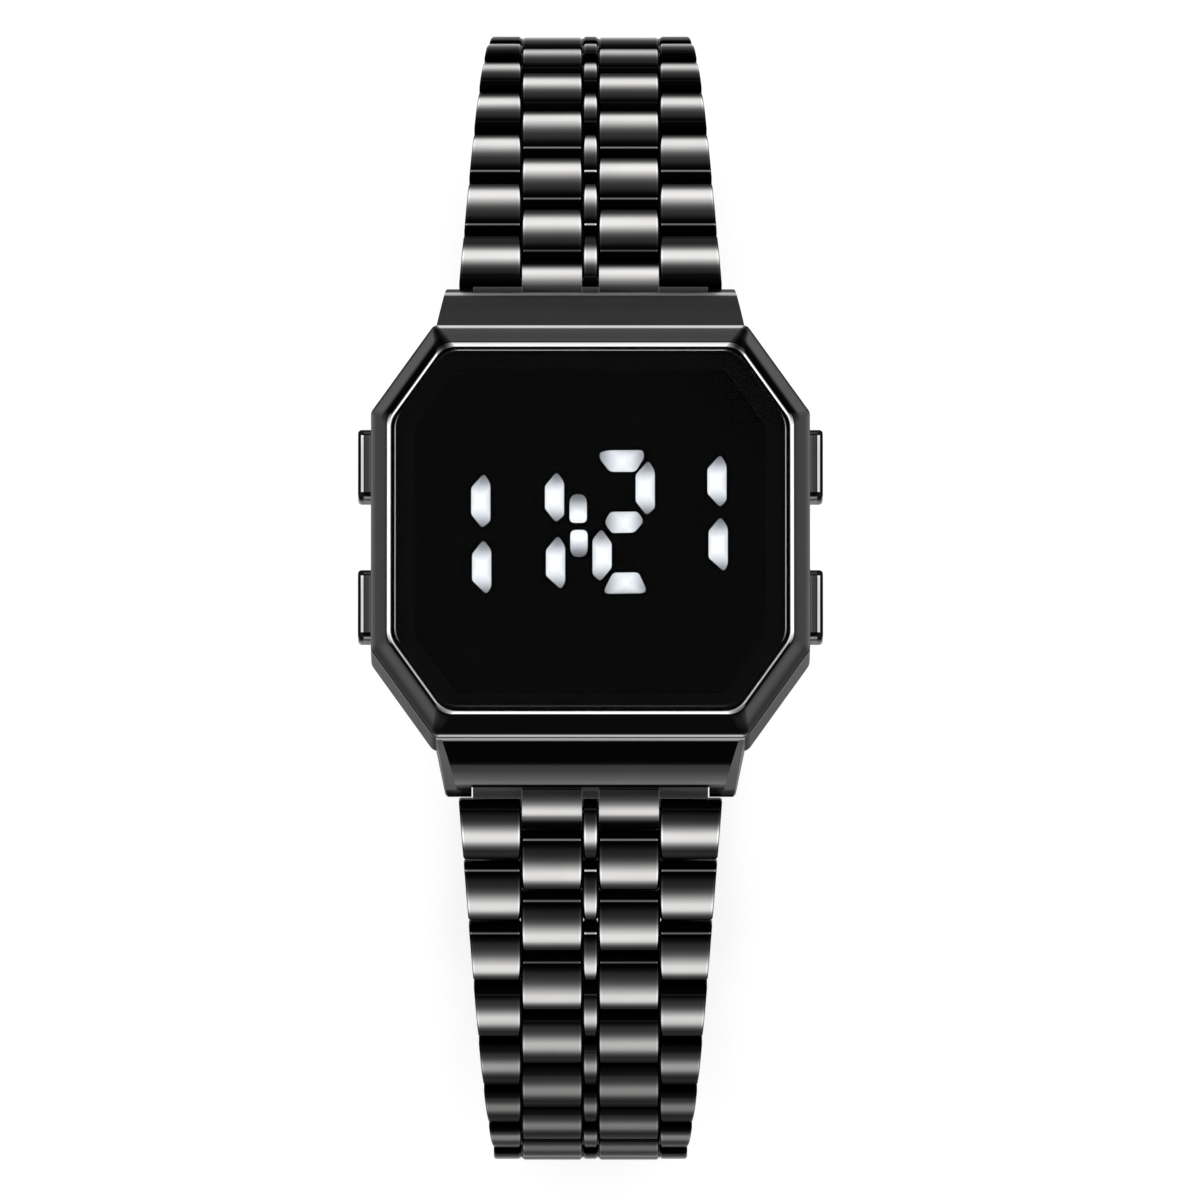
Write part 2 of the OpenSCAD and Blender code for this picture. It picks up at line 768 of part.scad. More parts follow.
// Return springs: a round wire wound about the stem, swept ring by ring
wire_radius = 0.12;
coil_radius = (stem_radius + spring_room) / 2;
coil_turns = 4;
coil_steps = 12;
wire_sides = 6;
coil_from = spring_seat + wire_radius;
coil_to = cap_back - wire_radius;

module coil() {
    steps = coil_turns * coil_steps;
    points = [for (i = [0 : steps])
        let (angle = 360 * i / coil_steps, x = coil_from + (coil_to - coil_from) * i / steps)
        for (k = [0 : wire_sides - 1])
            let (phase = 360 * k / wire_sides, r = coil_radius + wire_radius * cos(phase))
            [x + wire_radius * sin(phase), r * cos(angle), r * sin(angle)]];
    walls = [for (i = [0 : steps - 1]) for (k = [0 : wire_sides - 1])
        let (a = i * wire_sides + k, b = i * wire_sides + (k + 1) % wire_sides)
        each [[a, b, b + wire_sides], [a, b + wire_sides, a + wire_sides]]];
    polyhedron(points, concat(
        walls,
        [[for (k = [wire_sides - 1 : -1 : 0]) k]],
        [[for (k = [0 : wire_sides - 1]) steps * wire_sides + k]]));
}

module pusher_springs() {
    color([0.6, 0.6, 0.6]) at_seat() four_corners()
        translate([0, pusher_offset, pusher_z])
            coil();
}

// Spring bars: a tube with a plunger at each end, whose tips sit in the lugs

bar_half = lug_width / 2 - 0.3;
plunger_length = 3;

module spring_bar(at) {
    difference() {
        rod(bar_radius, -bar_half, bar_half, at);
        rod(bar_radius - 0.25, -bar_half - 1, bar_half + 1, at);
    }
    both_sides() {
        rod(bar_radius - 0.25 - seated_fit, bar_half - plunger_length, bar_half, at);
        rod(bar_tip_radius, bar_half - 0.01, lug_width / 2 + 1, at);
    }
}

module spring_bar_12() {
    color(POLISHED) at_seat() spring_bar(bar_at);
}

module spring_bar_6() {
    color(POLISHED) at_seat() mirror([0, 1, 0]) spring_bar(bar_at);
}

// Links

// Section of a link as [way along the row, height], with its pins at a quarter pitch each side
module link_section(near_hole, far_hole) {
    difference() {
        union() {
            for (end = [-1, 1]) {
                translate([end * quarter, 0])
                    circle(r = end_radius);
                translate([end * shoulder_out, shoulder_up])
                    circle(r = shoulder_radius);
            }
            translate([-quarter, -end_radius])
                square([2 * quarter, 2 * end_radius]);
            translate([-half_link, 0])
                square([2 * half_link, shoulder_up]);
            intersection() {
                translate([0, crown_centre])
                    circle(r = crown_radius, $fn = 192);
                translate([-crown_meet, 0])
                    square([2 * crown_meet, crown_height + 1]);
            }
        }
        translate([-quarter, 0])
            circle(r = near_hole);
        translate([quarter, 0])
            circle(r = far_hole);
    }
}

module link_piece(from, to, way, far_hole) {
    translate([0, way, 0])
        along_x(from, to)
            link_section(pin_radius + seated_fit, far_hole);
}

// Outer piece: its free side follows the bracelet's taper
module outer_piece(i) {
    near = half_width(i - 1);
    far = half_width(i);
    intersection() {
        link_piece(outer_inner, near, quarter, pin_radius + seated_fit);
        translate([0, quarter, -pitch])
            linear_extrude(2 * pitch)
                polygon([
                    [outer_inner - 1, -2 * quarter], [near, -2 * quarter],
                    [far, 2 * quarter], [outer_inner - 1, 2 * quarter]
                ]);
    }
}

// One row: outer pieces and centre piece on this row's pin, and the middle pieces, half a
// pitch further out, on a fixed pin; the next row's pin turns in their far ends
module link_row(i) {
    color(GUNMETAL) {
        both_sides() outer_piece(i);
        link_piece(-centre_half, centre_half, quarter, pin_radius + seated_fit);
        both_sides() link_piece(mid_inner, mid_outer, 3 * quarter, pin_radius + running_fit);
    }
    color(POLISHED)
        for (way = [0, 2 * quarter]) {
            reach = half_width(i - 0.75 + way / pitch) - pin_end_inset;
            rod(pin_radius, -reach, reach, [way, 0]);
        }
}

module place_row(i) {
    translate([0, row_pin(i)[0], seat_z + row_pin(i)[1]])
        rotate([-row_slope(i), 0, 0])
            children();
}

module row_12(i) {
    place_row(i) link_row(i);
}

module row_6(i) {
    mirror([0, 1, 0]) place_row(i) link_row(i);
}

// End link: a knuckle on the spring bar, a tab between the lugs and two half links
module end_link() {
    protrusion_way = end_link_reach - quarter;
    tab_end = end_link_reach - end_radius - row_gap;
    half_link_start = 1.25;
    translate([0, bar_at[0], seat_z + bar_at[1]])
        rotate([-row_slope(1), 0, 0])
            difference() {
                union() {
                    along_x(-tab_half, tab_half) {
                        circle(r = knuckle_radius);
                        translate([0, -knuckle_radius + 0.1])
                            square([tab_end, knuckle_radius - 0.1 + tab_top]);
                        translate([-0.3, 0])
                            square([1, tab_top]);
                    }
                    both_sides()
                        along_x(mid_inner, mid_outer)
                            intersection() {
                                translate([protrusion_way, 0])
                                    link_section(0.01, pin_radius + running_fit);
                                translate([half_link_start, -pitch])
                                    square([pitch, 2 * pitch]);
                            }
                }
                rod(bar_radius + running_fit, -tab_half - 1, tab_half + 1, [0, 0]);
            }
}

module end_link_12() {
    color(GUNMETAL) end_link();
}

module end_link_6() {
    color(GUNMETAL) mirror([0, 1, 0]) end_link();
}

// Clasp

module clasp_link_pin() {
    color(POLISHED) rod(pin_radius, -half_width(rows) + 0.15, half_width(rows) - 0.15, [link_pin_y, pin_line_z]);
}

centre_knuckle = 2.6;
detent_height = 0.2;
fold_pin_half = cover_inner - detent_height - touch_gap;

// Inner blade: lies next to the wrist, from the 12 side's last row to the fold
module clasp_inner_blade() {
    blade_end = link_pin_y - lug_length;
    bottom = inner_z - blade_thickness / 2;
    color(POLISHED) difference() {
        union() {
            translate([-blade_width / 2, fold_y + fold_radius + touch_gap * 3, bottom])
                cube([blade_width, blade_end - fold_y - fold_radius - touch_gap * 3, blade_thickness]);
            along_x(-centre_knuckle, centre_knuckle) {
                translate([fold_y, fold_z]) circle(r = fold_radius);
                translate([fold_y, bottom]) square([fold_radius + 1, blade_thickness]);
            }
            both_sides()
                along_x(outer_inner + 0.05, half_width(rows) - 0.1) {
                    translate([link_pin_y, pin_line_z]) circle(r = lug_knuckle);
                    translate([blade_end - 1, bottom])
                        square([link_pin_y - blade_end + 1, blade_thickness]);
                }
            translate([-half_width(rows) + 0.1, blade_end - 1, bottom])
                cube([2 * half_width(rows) - 0.2, 1, blade_thickness]);
        }
        rod(pin_radius + seated_fit, -10, 10, [link_pin_y, pin_line_z]);
        rod(pin_radius + running_fit, -10, 10, [fold_y, fold_z]);
        translate([0, (fold_y + link_pin_y) / 2, 0])
            linear_extrude(10)
                soft_rectangle(4, (link_pin_y - fold_y) * 0.55, 1.9);
    }
}

module clasp_fold_pin() {
    color(POLISHED) rod(pin_radius, -fold_pin_half, fold_pin_half, [fold_y, fold_z]);
}

// Middle blade: from the fold back to the cover's hinge
module clasp_middle_blade() {
    bottom = middle_z - blade_thickness / 2;
    color(POLISHED) difference() {
        union() {
            translate([-blade_width / 2, fold_y + fold_radius + touch_gap * 3, bottom])
                cube([blade_width, cover_pin_y - fold_y - fold_radius - touch_gap * 3, blade_thickness]);
            both_sides()
                along_x(centre_knuckle + free_gap, blade_width / 2) {
                    translate([fold_y, fold_z]) circle(r = fold_radius);
                    translate([fold_y, bottom]) square([fold_radius + 1, blade_thickness]);
                }
            along_x(-cover_inner + free_gap, cover_inner - free_gap)
                translate([cover_pin_y, cover_pin_z]) circle(r = cover_knuckle);
        }
        rod(pin_radius + seated_fit, -10, 10, [fold_y, fold_z]);
        rod(pin_radius + running_fit, -10, 10, [cover_pin_y, cover_pin_z]);
        translate([0, (fold_y + cover_pin_y) / 2, 0])
            linear_extrude(10)
                soft_rectangle(7, (cover_pin_y - fold_y) * 0.6, 1.5);
    }
}

module clasp_cover_pin() {
    color(POLISHED) rod(pin_radius, -cover_outer + 0.1, cover_outer - 0.1, [cover_pin_y, cover_pin_z]);
}

// Section of the cover's plate: flat in the middle, its outer face rising toward both ends
module cover_plate_section() {
    middle = (plate_start_y + plate_end_y) / 2;
    flat_half = 12;
    bend_radius = 90;
    intersection() {
        translate([plate_end_y, 0])
            square([plate_start_y - plate_end_y, cover_thickness]);
        union() {
            translate([middle - flat_half, 0])
                square([2 * flat_half, cover_thickness]);
            for (end = [-1, 1])
                translate([middle + end * flat_half, bend_radius])
                    circle(r = bend_radius, $fn = 360);
        }
    }
}

adjusting_holes = 3;
adjusting_step = 2.2;
cheek_radius = 1.35;
wall_height = 2.7;

// Dimple pressed into a wall, which springs past the end of the fold pin and holds the cover shut
module detent() {
    radius = 1.2;
    intersection() {
        translate([cover_inner + radius - detent_height, fold_y, fold_z])
            sphere(r = radius);
        translate([cover_inner - 1, fold_y - 2, 0])
            cube([1.01, 4, 4]);
    }
}

// Cover: an outer plate between two side walls that carry the hinge pin and the spring bar holes
module clasp_cover() {
    color(GUNMETAL) difference() {
        union() {
            both_sides() detent();
            along_x(-cover_outer, cover_outer) cover_plate_section();
            both_sides()
                along_x(cover_inner, cover_outer)
                    difference() {
                        union() {
                            translate([plate_end_y, 0.6])
                                square([plate_start_y - plate_end_y, wall_height - 0.6]);
                            cover_plate_section();
                            translate([cover_pin_y, cover_pin_z]) circle(r = cover_knuckle + 0.3);
                            translate([plate_start_y - 0.01, cover_pin_z - cover_knuckle + 0.1])
                                square([1.01, wall_height - cover_pin_z + cover_knuckle - 0.1]);
                            translate([bar_pin_y, pin_line_z]) circle(r = cheek_radius);
                            translate([bar_pin_y, pin_line_z - cheek_radius])
                                square([plate_end_y - bar_pin_y + 0.01, cheek_radius * 2]);
                        }
                        for (k = [0 : adjusting_holes - 1])
                            translate([bar_pin_y + k * adjusting_step, pin_line_z])
                                circle(r = pin_radius + running_fit);
                    }
        }
        rod(pin_radius + seated_fit, -12, 12, [cover_pin_y, cover_pin_z]);
    }
}

// Spring bar in the 6 side's last row, its tips drawn in clear of the cover's walls
module clasp_spring_bar() {
    color(POLISHED) rod(pin_radius, -half_width(rows) + 0.1, half_width(rows) - 0.1, [bar_pin_y, pin_line_z]);
}

case_body();
bezel();
crystal();
crystal_gasket();
display_mask();
lit_segments();
unlit_segments();
circuit_board();
contact_springs();
module_frame();
battery_cell();
battery_strap();
case_back();
back_gasket();
back_screws();
pusher_2();
pusher_4();
pusher_8();
pusher_10();
pusher_springs();
spring_bar_12();
spring_bar_6();
end_link_12();
end_link_6();
row_12(1);  // link_12_01
row_12(2);  // link_12_02
row_12(3);  // link_12_03
row_12(4);  // link_12_04
row_12(5);  // link_12_05
row_12(6);  // link_12_06
row_12(7);  // link_12_07
row_12(8);  // link_12_08
row_12(9);  // link_12_09
row_12(10);  // link_12_10
row_12(11);  // link_12_11
row_12(12);  // link_12_12
row_12(13);  // link_12_13
row_6(1);  // link_6_01
row_6(2);  // link_6_02
row_6(3);  // link_6_03
row_6(4);  // link_6_04
row_6(5);  // link_6_05
row_6(6);  // link_6_06
row_6(7);  // link_6_07
row_6(8);  // link_6_08
row_6(9);  // link_6_09
row_6(10);  // link_6_10
row_6(11);  // link_6_11
row_6(12);  // link_6_12
row_6(13);  // link_6_13
clasp_link_pin();
clasp_inner_blade();
clasp_fold_pin();
clasp_middle_blade();
clasp_cover_pin();
clasp_cover();
clasp_spring_bar();
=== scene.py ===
"""Digital wristwatch on its link bracelet: smooth steel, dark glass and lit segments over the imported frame."""
from __future__ import annotations

import json
import logging
import math
from collections.abc import Callable
from dataclasses import dataclass, field
from enum import Enum
from functools import partial

import bmesh
import bpy
import numpy as np
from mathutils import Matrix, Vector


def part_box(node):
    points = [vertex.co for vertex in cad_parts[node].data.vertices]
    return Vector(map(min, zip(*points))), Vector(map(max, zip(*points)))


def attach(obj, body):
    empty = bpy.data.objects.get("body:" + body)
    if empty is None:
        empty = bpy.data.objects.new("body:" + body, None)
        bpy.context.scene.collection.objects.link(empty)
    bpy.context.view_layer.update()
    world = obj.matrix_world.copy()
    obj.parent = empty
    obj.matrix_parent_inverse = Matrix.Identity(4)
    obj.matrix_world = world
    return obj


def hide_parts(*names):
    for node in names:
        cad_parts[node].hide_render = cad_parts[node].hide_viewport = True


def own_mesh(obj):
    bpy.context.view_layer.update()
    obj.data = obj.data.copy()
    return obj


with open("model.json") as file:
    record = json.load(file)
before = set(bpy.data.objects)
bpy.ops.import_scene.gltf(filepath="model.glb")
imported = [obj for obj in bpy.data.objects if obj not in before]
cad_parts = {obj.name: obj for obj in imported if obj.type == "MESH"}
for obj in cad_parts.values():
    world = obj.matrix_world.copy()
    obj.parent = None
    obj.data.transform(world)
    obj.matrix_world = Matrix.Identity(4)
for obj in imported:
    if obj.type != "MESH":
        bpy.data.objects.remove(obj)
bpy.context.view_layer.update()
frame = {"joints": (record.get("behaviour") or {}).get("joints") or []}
LOG = logging.getLogger("wristwatch")
MM = 0.001
Colour = tuple[float, float, float]
Stops = tuple[tuple[float, float], ...]
Layers = list[tuple[float, ...]]
Socket = bpy.types.NodeSocket
# Share of a noise texture's range that holds most of its values
NOISE_SPAN = (0.3, 0.7)
# Octaves of a rich noise and of a plain one
RICH = 4.0
PLAIN = 2.0
# Depth in metres of the lines that polishing leaves
LINE_DEPTH = 0.00001
# Points nearer than this are one point, and faces flatter than FLAT are one face
WELD = 0.000002
FLAT = math.radians(0.6)
# Edges past SOFTENED are softened, and shading breaks past CREASE degrees
SOFTENED = math.radians(40)
CREASE = 30.0
# Sum of |x| and |y| on the case's cut corners, as a share of its half size
CUT_CORNER = 1.65
# Faces whose normal rises less than this are walls
WALL_RISE = 0.35
# Widths of the softened edges of solid pieces and of thin plates, and the steps across them
SOFT_EDGE = 0.1 * MM
SOFT_THIN = 0.08 * MM
SOFT_STEPS = 2


class Axis(Enum):
    """Axis that the polishing lines of a finish run along."""

    X = 0
    Y = 1


class Side(Enum):
    """Half of the bracelet, named after the hour that it leaves the case at, with its sign along Y."""

    TWELVE = 1
    SIX = -1

    @property
    def hour(self) -> str:
        """Hour as the names of the side's nodes have it."""
        return "12" if self is Side.TWELVE else "6"


# Painted highlight of the links by rows from the case: rows, share of the length, display grey, grey of the thin line
GLARES = {
    Side.TWELVE: (
        (0.25, 0.51, 218, 20), (0.75, 0.66, 220, 90), (1.25, 0.71, 220, 134), (1.75, 0.73, 222, 130),
        (2.25, 0.73, 226, 130), (2.75, 0.76, 226, 130), (3.25, 0.61, 226, 20), (3.75, 0.64, 225, 20),
        (4.25, 0.6, 225, 20), (4.75, 0.72, 222, 20), (5.25, 0.62, 215, 20), (5.75, 0.65, 190, 20),
        (7.0, 0.5, 190, 60), (13.0, 0.6, 190, 90)),
    Side.SIX: (
        (0.25, 0.57, 216, 24), (0.75, 0.73, 208, 150), (1.25, 0.74, 205, 140), (1.75, 0.75, 206, 130),
        (2.25, 0.75, 206, 120), (2.75, 0.76, 200, 100), (3.25, 0.58, 196, 24), (3.75, 0.57, 171, 20),
        (4.25, 0.44, 148, 20), (4.75, 0.49, 126, 20), (5.25, 0.35, 116, 20), (5.75, 0.41, 116, 20),
        (6.25, 0.24, 126, 20), (6.75, 0.27, 105, 20), (8.0, 0.5, 190, 60), (13.0, 0.6, 190, 90)),
}
# Painted highlights and shade of the case along Y, as millimetres and display grey: lower hood, middle and upper hood
HOODS = (
    (-20.0, 30), (-19.3, 38), (-19.05, 112), (-18.85, 90), (-18.3, 60), (-17.95, 50), (-17.88, 38), (-17.8, 4),
    (-16.11, 5), (-16.09, 200), (-16.04, 200), (-16.02, 6), (-15.9, 3), (15.9, 3), (15.95, 60), (16.15, 48),
    (18.0, 48), (18.7, 54), (18.85, 60), (18.93, 220), (19.08, 210), (19.15, 42), (20.0, 36))
# Painted highlights and shade of the end links along Y, as millimetres and display grey
END_LINKS = (
    (-21.8, 4), (-21.6, 20), (-21.3, 100), (-21.1, 200), (-20.9, 212), (-20.65, 180), (-20.4, 120), (-20.1, 78),
    (-19.8, 52), (-19.5, 40), (-19.2, 60), (-18.9, 40), (18.9, 20), (19.2, 25), (19.5, 38), (19.9, 58),
    (20.3, 120), (20.7, 190), (20.95, 215), (21.2, 225), (21.4, 160), (21.6, 60), (21.8, 4))


def grey(value: float, warmth: float = 0.0) -> Colour:
    """Return a neutral linear colour, whose red rises and blue falls by the share warmth."""
    return (value * (1 + warmth), value, value * (1 - warmth))


def opaque(colour: Colour) -> tuple[float, ...]:
    """Return a colour with full alpha."""
    return (*colour, 1.0)


def level(shade: float) -> float:
    """Return the linear value of a display grey: ((c + 0.055) / 1.055) ^ 2.4, with c = shade / 255."""
    c = shade / 255
    return c / 12.92 if c < 0.04045 else ((c + 0.055) / 1.055) ** 2.4


def new_object(name: str, data: bpy.types.ID) -> bpy.types.Object:
    """Put a new object in the scene.

    Args:
        name: Its name.
        data: Its mesh or camera.

    Returns:
        The object.
    """
    thing = bpy.data.objects.new(name, data)
    bpy.context.scene.collection.objects.link(thing)
    return thing


def octagon_reach(points: np.ndarray) -> np.ndarray:
    """Return the half size of the octagon that each point lies on: max(|x|, |y|, (|x| + |y|) / CUT_CORNER)."""
    flat = np.abs(points[..., :2])
    return np.maximum(flat.max(axis=-1), flat.sum(axis=-1) / CUT_CORNER)


class Nodes:
    """Shader graph being built in a material or in the world."""

    def __init__(self, owner: bpy.types.ID, output: str = "OutputMaterial") -> None:
        """Empty the graph and give it its output.

        Args:
            owner: Material or world that holds the graph.
            output: Type of the output node without its ShaderNode prefix.
        """
        owner.use_nodes = True
        self.owner = owner
        self.tree = owner.node_tree
        self.tree.nodes.clear()
        self.output = self.add(output)

    def add(self, kind: str, inputs: dict | None = None, **settings: object) -> bpy.types.Node:
        """Add one node.

        Args:
            kind: Node type without its ShaderNode prefix.
            inputs: By name or place of each input, the socket that feeds it or its fixed value.
            settings: Properties of the node, by name.

        Returns:
            The new node.
        """
        node = self.tree.nodes.new("ShaderNode" + kind)
        for key, value in settings.items():
            setattr(node, key, value)
        for key, value in (inputs or {}).items():
            if isinstance(value, Socket):
                self.tree.links.new(value, node.inputs[key])
            else:
                node.inputs[key].default_value = value
        return node

    def show(self, surface: bpy.types.Node) -> bpy.types.ID:
        """Join a shader to the output and return the graph's owner."""
        self.tree.links.new(surface.outputs[0], self.output.inputs["Surface"])
        return self.owner

    def place(self) -> tuple[Socket, ...]:
        """Return the sockets that carry X, Y and Z of Object coordinates."""
        return tuple(self.add("SeparateXYZ", {0: self.add("TexCoord").outputs["Object"]}).outputs)

    def noise(self, scale: float, detail: float, stretch: Colour | None = None) -> Socket:
        """Add a noise texture on Object coordinates.

        Args:
            scale: Cycles of noise to a metre.
            detail: Octaves of the noise.
            stretch: Factors on X, Y and Z.

        Returns:
            The noise.
        """
        place = self.add("TexCoord").outputs["Object"]
        if stretch:
            place = self.add("Mapping", {"Vector": place, "Scale": stretch}).outputs["Vector"]
        return self.add("TexNoise", {"Vector": place, "Scale": scale, "Detail": detail}).outputs["Fac"]

    def ramp(self, source: Socket, stops: list[tuple[float, Colour]], blend: str = "LINEAR") -> Socket:
        """Add a colour ramp.

        Args:
            source: Value that the ramp reads.
            stops: Position and colour of each stop.
            blend: Way from stop to stop.

        Returns:
            The colour.
        """
        node = self.add("ValToRGB", {"Fac": source})
        node.color_ramp.interpolation = blend
        elements = node.color_ramp.elements
        while len(elements) < len(stops):
            elements.new(0.5)
        for element, (position, colour) in zip(elements, stops):
            element.position = position
            element.color = opaque(colour)
        return node.outputs["Color"]

    def remap(self, source: Socket, low: float, high: float, start: float = 0.0, stop: float = 1.0) -> Socket:
        """Carry a value linearly from the range from start to stop to the range from low to high."""
        return self.add("MapRange", {"Value": source, "From Min": start, "From Max": stop,
                                     "To Min": low, "To Max": high}).outputs["Result"]

    def spread(self, noise: Socket, middle: float, reach: float) -> Socket:
        """Carry noise to values that vary by reach about a middle."""
        return self.remap(noise, middle - reach, middle + reach, *NOISE_SPAN)

    def cloudy(self, noise: Socket, low: Colour, high: Colour, span: tuple[float, float] = NOISE_SPAN) -> Socket:
        """Carry noise to colours between two, which it reaches at the ends of the span."""
        return self.ramp(noise, list(zip(span, (low, high))))

    def maths(self, operation: str, *values: object) -> Socket:
        """Add one arithmetic step on sockets or numbers, and return its result."""
        return self.add("Math", dict(enumerate(values)), operation=operation).outputs[0]

    def mix(self, share: object, first: object, second: object, blend: str = "MIX") -> Socket:
        """Mix two colours, each a socket or four numbers, by the share of the second, a socket or a number."""
        return self.add("Mix", {0: share, 6: first, 7: second}, data_type="RGBA", blend_type=blend).outputs[2]

    def tone(self, output: str) -> Socket:
        """Return the piece's tone attribute, as its Color or its Fac."""
        return self.add("Attribute", attribute_name="tone").outputs[output]

    def shades(self, place: Socket, stops: Stops) -> Socket:
        """Lay display greys along a place.

        Args:
            place: Place in metres.
            stops: Millimetres and display grey of each stop.

        Returns:
            The colour.
        """
        low, high = stops[0][0], stops[-1][0]
        colours = [((at - low) / (high - low), grey(level(shade))) for at, shade in stops]
        return self.ramp(self.remap(place, 0.0, 1.0, low * MM, high * MM), colours)

    def bump(self, height: Socket, strength: float, depth: float) -> Socket:
        """Return the normal of a relief: a share of the full slope of a height map, depth metres deep."""
        return self.add("Bump", {"Height": height, "Strength": strength, "Distance": depth}).outputs["Normal"]


@dataclass(frozen=True)
class Finish:
    """Finish of a surface, which becomes one material."""

    name: str

    def build(self) -> bpy.types.Material:
        """Return the material."""
        g = Nodes(bpy.data.materials.new(self.name))
        return g.show(g.add("BsdfPrincipled", self.surface(g)))

    def surface(self, g: Nodes) -> dict:
        """Return the shader's sockets and fixed values by input, in the material's graph."""
        raise NotImplementedError


@dataclass(frozen=True)
class Steel(Finish):
    """Blackened steel: metal with soft cloudy tone and fine polishing lines.

    The tone is one value, or follows the piece's tone attribute, which carries painted highlights and shade,
    or follows the place along Y with painted highlights and shade, as pairs of millimetres and display grey.
    """

    tone: float = 0.2
    warmth: float = 0.012
    roughness: float = 0.14
    grain: float = 0.03
    grain_axis: Axis = Axis.X
    relief: float = 0.04
    rim: float = 0.5
    # Whether the tone attribute paints highlights and shade on the piece
    painted_light: bool = False
    # Painted highlights and shade along Y, as millimetres and display grey
    painted_light_along_y: Stops = ()
    cloud_scale: float = 260.0
    cloud_depth: float = 0.07
    line_scale: float = 9000.0

    def surface(self, g: Nodes) -> dict:
        """Return metal whose colour is cloudy noise times the tone, or times the painted highlights and shade.

        Args:
            g: Graph of the material.

        Returns:
            The shader's inputs; roughness and relief follow noise stretched along the polishing lines.
        """
        bands = self.bands(g)
        base = self.tone if bands is None else 1.0
        tone = g.cloudy(g.noise(self.cloud_scale, RICH), grey(base * (1 - self.cloud_depth), self.warmth),
                        grey(base, self.warmth))
        if bands is not None:
            tone = g.mix(1.0, tone, bands, "MULTIPLY")
        stretch = [self.line_scale] * 3
        stretch[self.grain_axis.value] = self.cloud_scale
        lines = g.noise(1.0, PLAIN, tuple(stretch))
        return {"Metallic": 1.0, "Specular Tint": opaque(grey(self.rim)), "Base Color": tone,
                "Roughness": g.spread(lines, self.roughness, self.grain),
                "Normal": g.bump(lines, self.relief, LINE_DEPTH)}

    def bands(self, g: Nodes) -> Socket | None:
        """Return the socket that carries the painted highlights and shade, if there are any.

        Args:
            g: Graph of the material.

        Returns:
            The colour or None.
        """
        if self.painted_light:
            return g.tone("Color")
        return g.shades(g.place()[1], self.painted_light_along_y) if self.painted_light_along_y else None


@dataclass(frozen=True)
class HoodSteel(Steel):
    """Steel of the case: painted light along Y, and a painted highlight strip along the lower hood's slanting sides.

    The strip lies past the lines |x| = strip_reach - lean * (|y| - strip_start), in millimetres.
    """

    strip_start: float = 16.13
    strip_reach: float = 11.36
    lean: float = 0.345
    # Display grey of the painted highlight strip
    strip_painted_highlight: float = 84.0

    def bands(self, g: Nodes) -> Socket:
        """Return the ramp of painted light along Y, replaced by one painted highlight grey on the lower hood's strips.

        Args:
            g: Graph of the material.

        Returns:
            The colour.
        """
        x, y, _ = g.place()
        across = g.maths("SUBTRACT", g.maths("ABSOLUTE", x), g.maths("MULTIPLY", y, self.lean))
        past = g.maths("GREATER_THAN", across, (self.strip_reach + self.lean * self.strip_start) * MM)
        below = g.maths("LESS_THAN", y, -self.strip_start * MM)
        return g.mix(g.maths("MULTIPLY", past, below), g.shades(y, self.painted_light_along_y),
                     opaque(grey(level(self.strip_painted_highlight))))


@dataclass(frozen=True)
class CapSteel(Steel):
    """Pusher cap steel with painted light: a dark frame, a bright line along its inside and short lines across its
    ends.

    The lines lie on the place along X from the cap's front and on the place along Y from its middle.
    """

    front: float = 17.8
    offset: float = 5.45
    panel_half: float = 2.2
    frame_width: float = 0.45
    # Display grey of the frame, painted shade
    frame_painted_shade: float = 22.0
    # Painted highlights and shade along and across the cap, as millimetres and display grey
    inward: Stops = (
        (-1.6, 60), (-1.0, 30), (-0.95, 105), (-0.88, 105), (-0.84, 78), (-0.52, 72), (-0.47, 38), (-0.44, 40),
        (-0.42, 255), (-0.26, 255), (-0.22, 12), (0.0, 12))
    across: Stops = (
        (-2.75, 92), (-2.73, 60), (-2.69, 45), (-2.64, 135), (-2.54, 135), (-2.5, 10), (-2.3, 4), (-2.1, 6),
        (2.1, 6), (2.3, 12), (2.35, 62), (2.45, 62), (2.5, 14), (2.7, 40))

    def bands(self, g: Nodes) -> Socket:
        """Return the painted highlight lines and shade along the cap, and past the panel's ends those across it.

        Args:
            g: Graph of the material.

        Returns:
            The colour.
        """
        x, y, _ = g.place()
        depth = g.maths("SUBTRACT", g.maths("ABSOLUTE", x), self.front * MM)
        place = g.maths("SUBTRACT", y, g.maths("MULTIPLY", g.maths("SIGN", y), self.offset * MM))
        inside = g.maths("LESS_THAN", depth, -self.frame_width * MM)
        past = g.maths("GREATER_THAN", g.maths("ABSOLUTE", place), self.panel_half * MM)
        ends = g.mix(inside, opaque(grey(level(self.frame_painted_shade))), g.shades(place, self.across))
        return g.mix(past, g.shades(depth, self.inward), ends)


@dataclass(frozen=True)
class Turned(Finish):
    """Steel with circular brushing about the Z axis."""

    tone: float = 0.35
    roughness: float = 0.3
    ring_scale: float = 14000.0
    contrast: float = 0.1
    grain: float = 0.08
    relief: float = 0.25

    def surface(self, g: Nodes) -> dict:
        """Return metal whose colour, roughness and relief are noise of the distance from the Z axis.

        Args:
            g: Graph of the material.

        Returns:
            The shader's inputs.
        """
        x, y, _ = g.place()
        flat = g.add("CombineXYZ", {"X": x, "Y": y}).outputs[0]
        reach = g.add("VectorMath", {0: flat}, operation="LENGTH").outputs["Value"]
        rings = g.add("TexNoise", {"Scale": self.ring_scale, "W": reach}, noise_dimensions="1D").outputs["Fac"]
        low, high = (grey(self.tone * (1 + sign * self.contrast)) for sign in (-1, 1))
        return {"Metallic": 1.0, "Base Color": g.cloudy(rings, low, high),
                "Roughness": g.spread(rings, self.roughness, self.grain),
                "Normal": g.bump(rings, self.relief, LINE_DEPTH)}


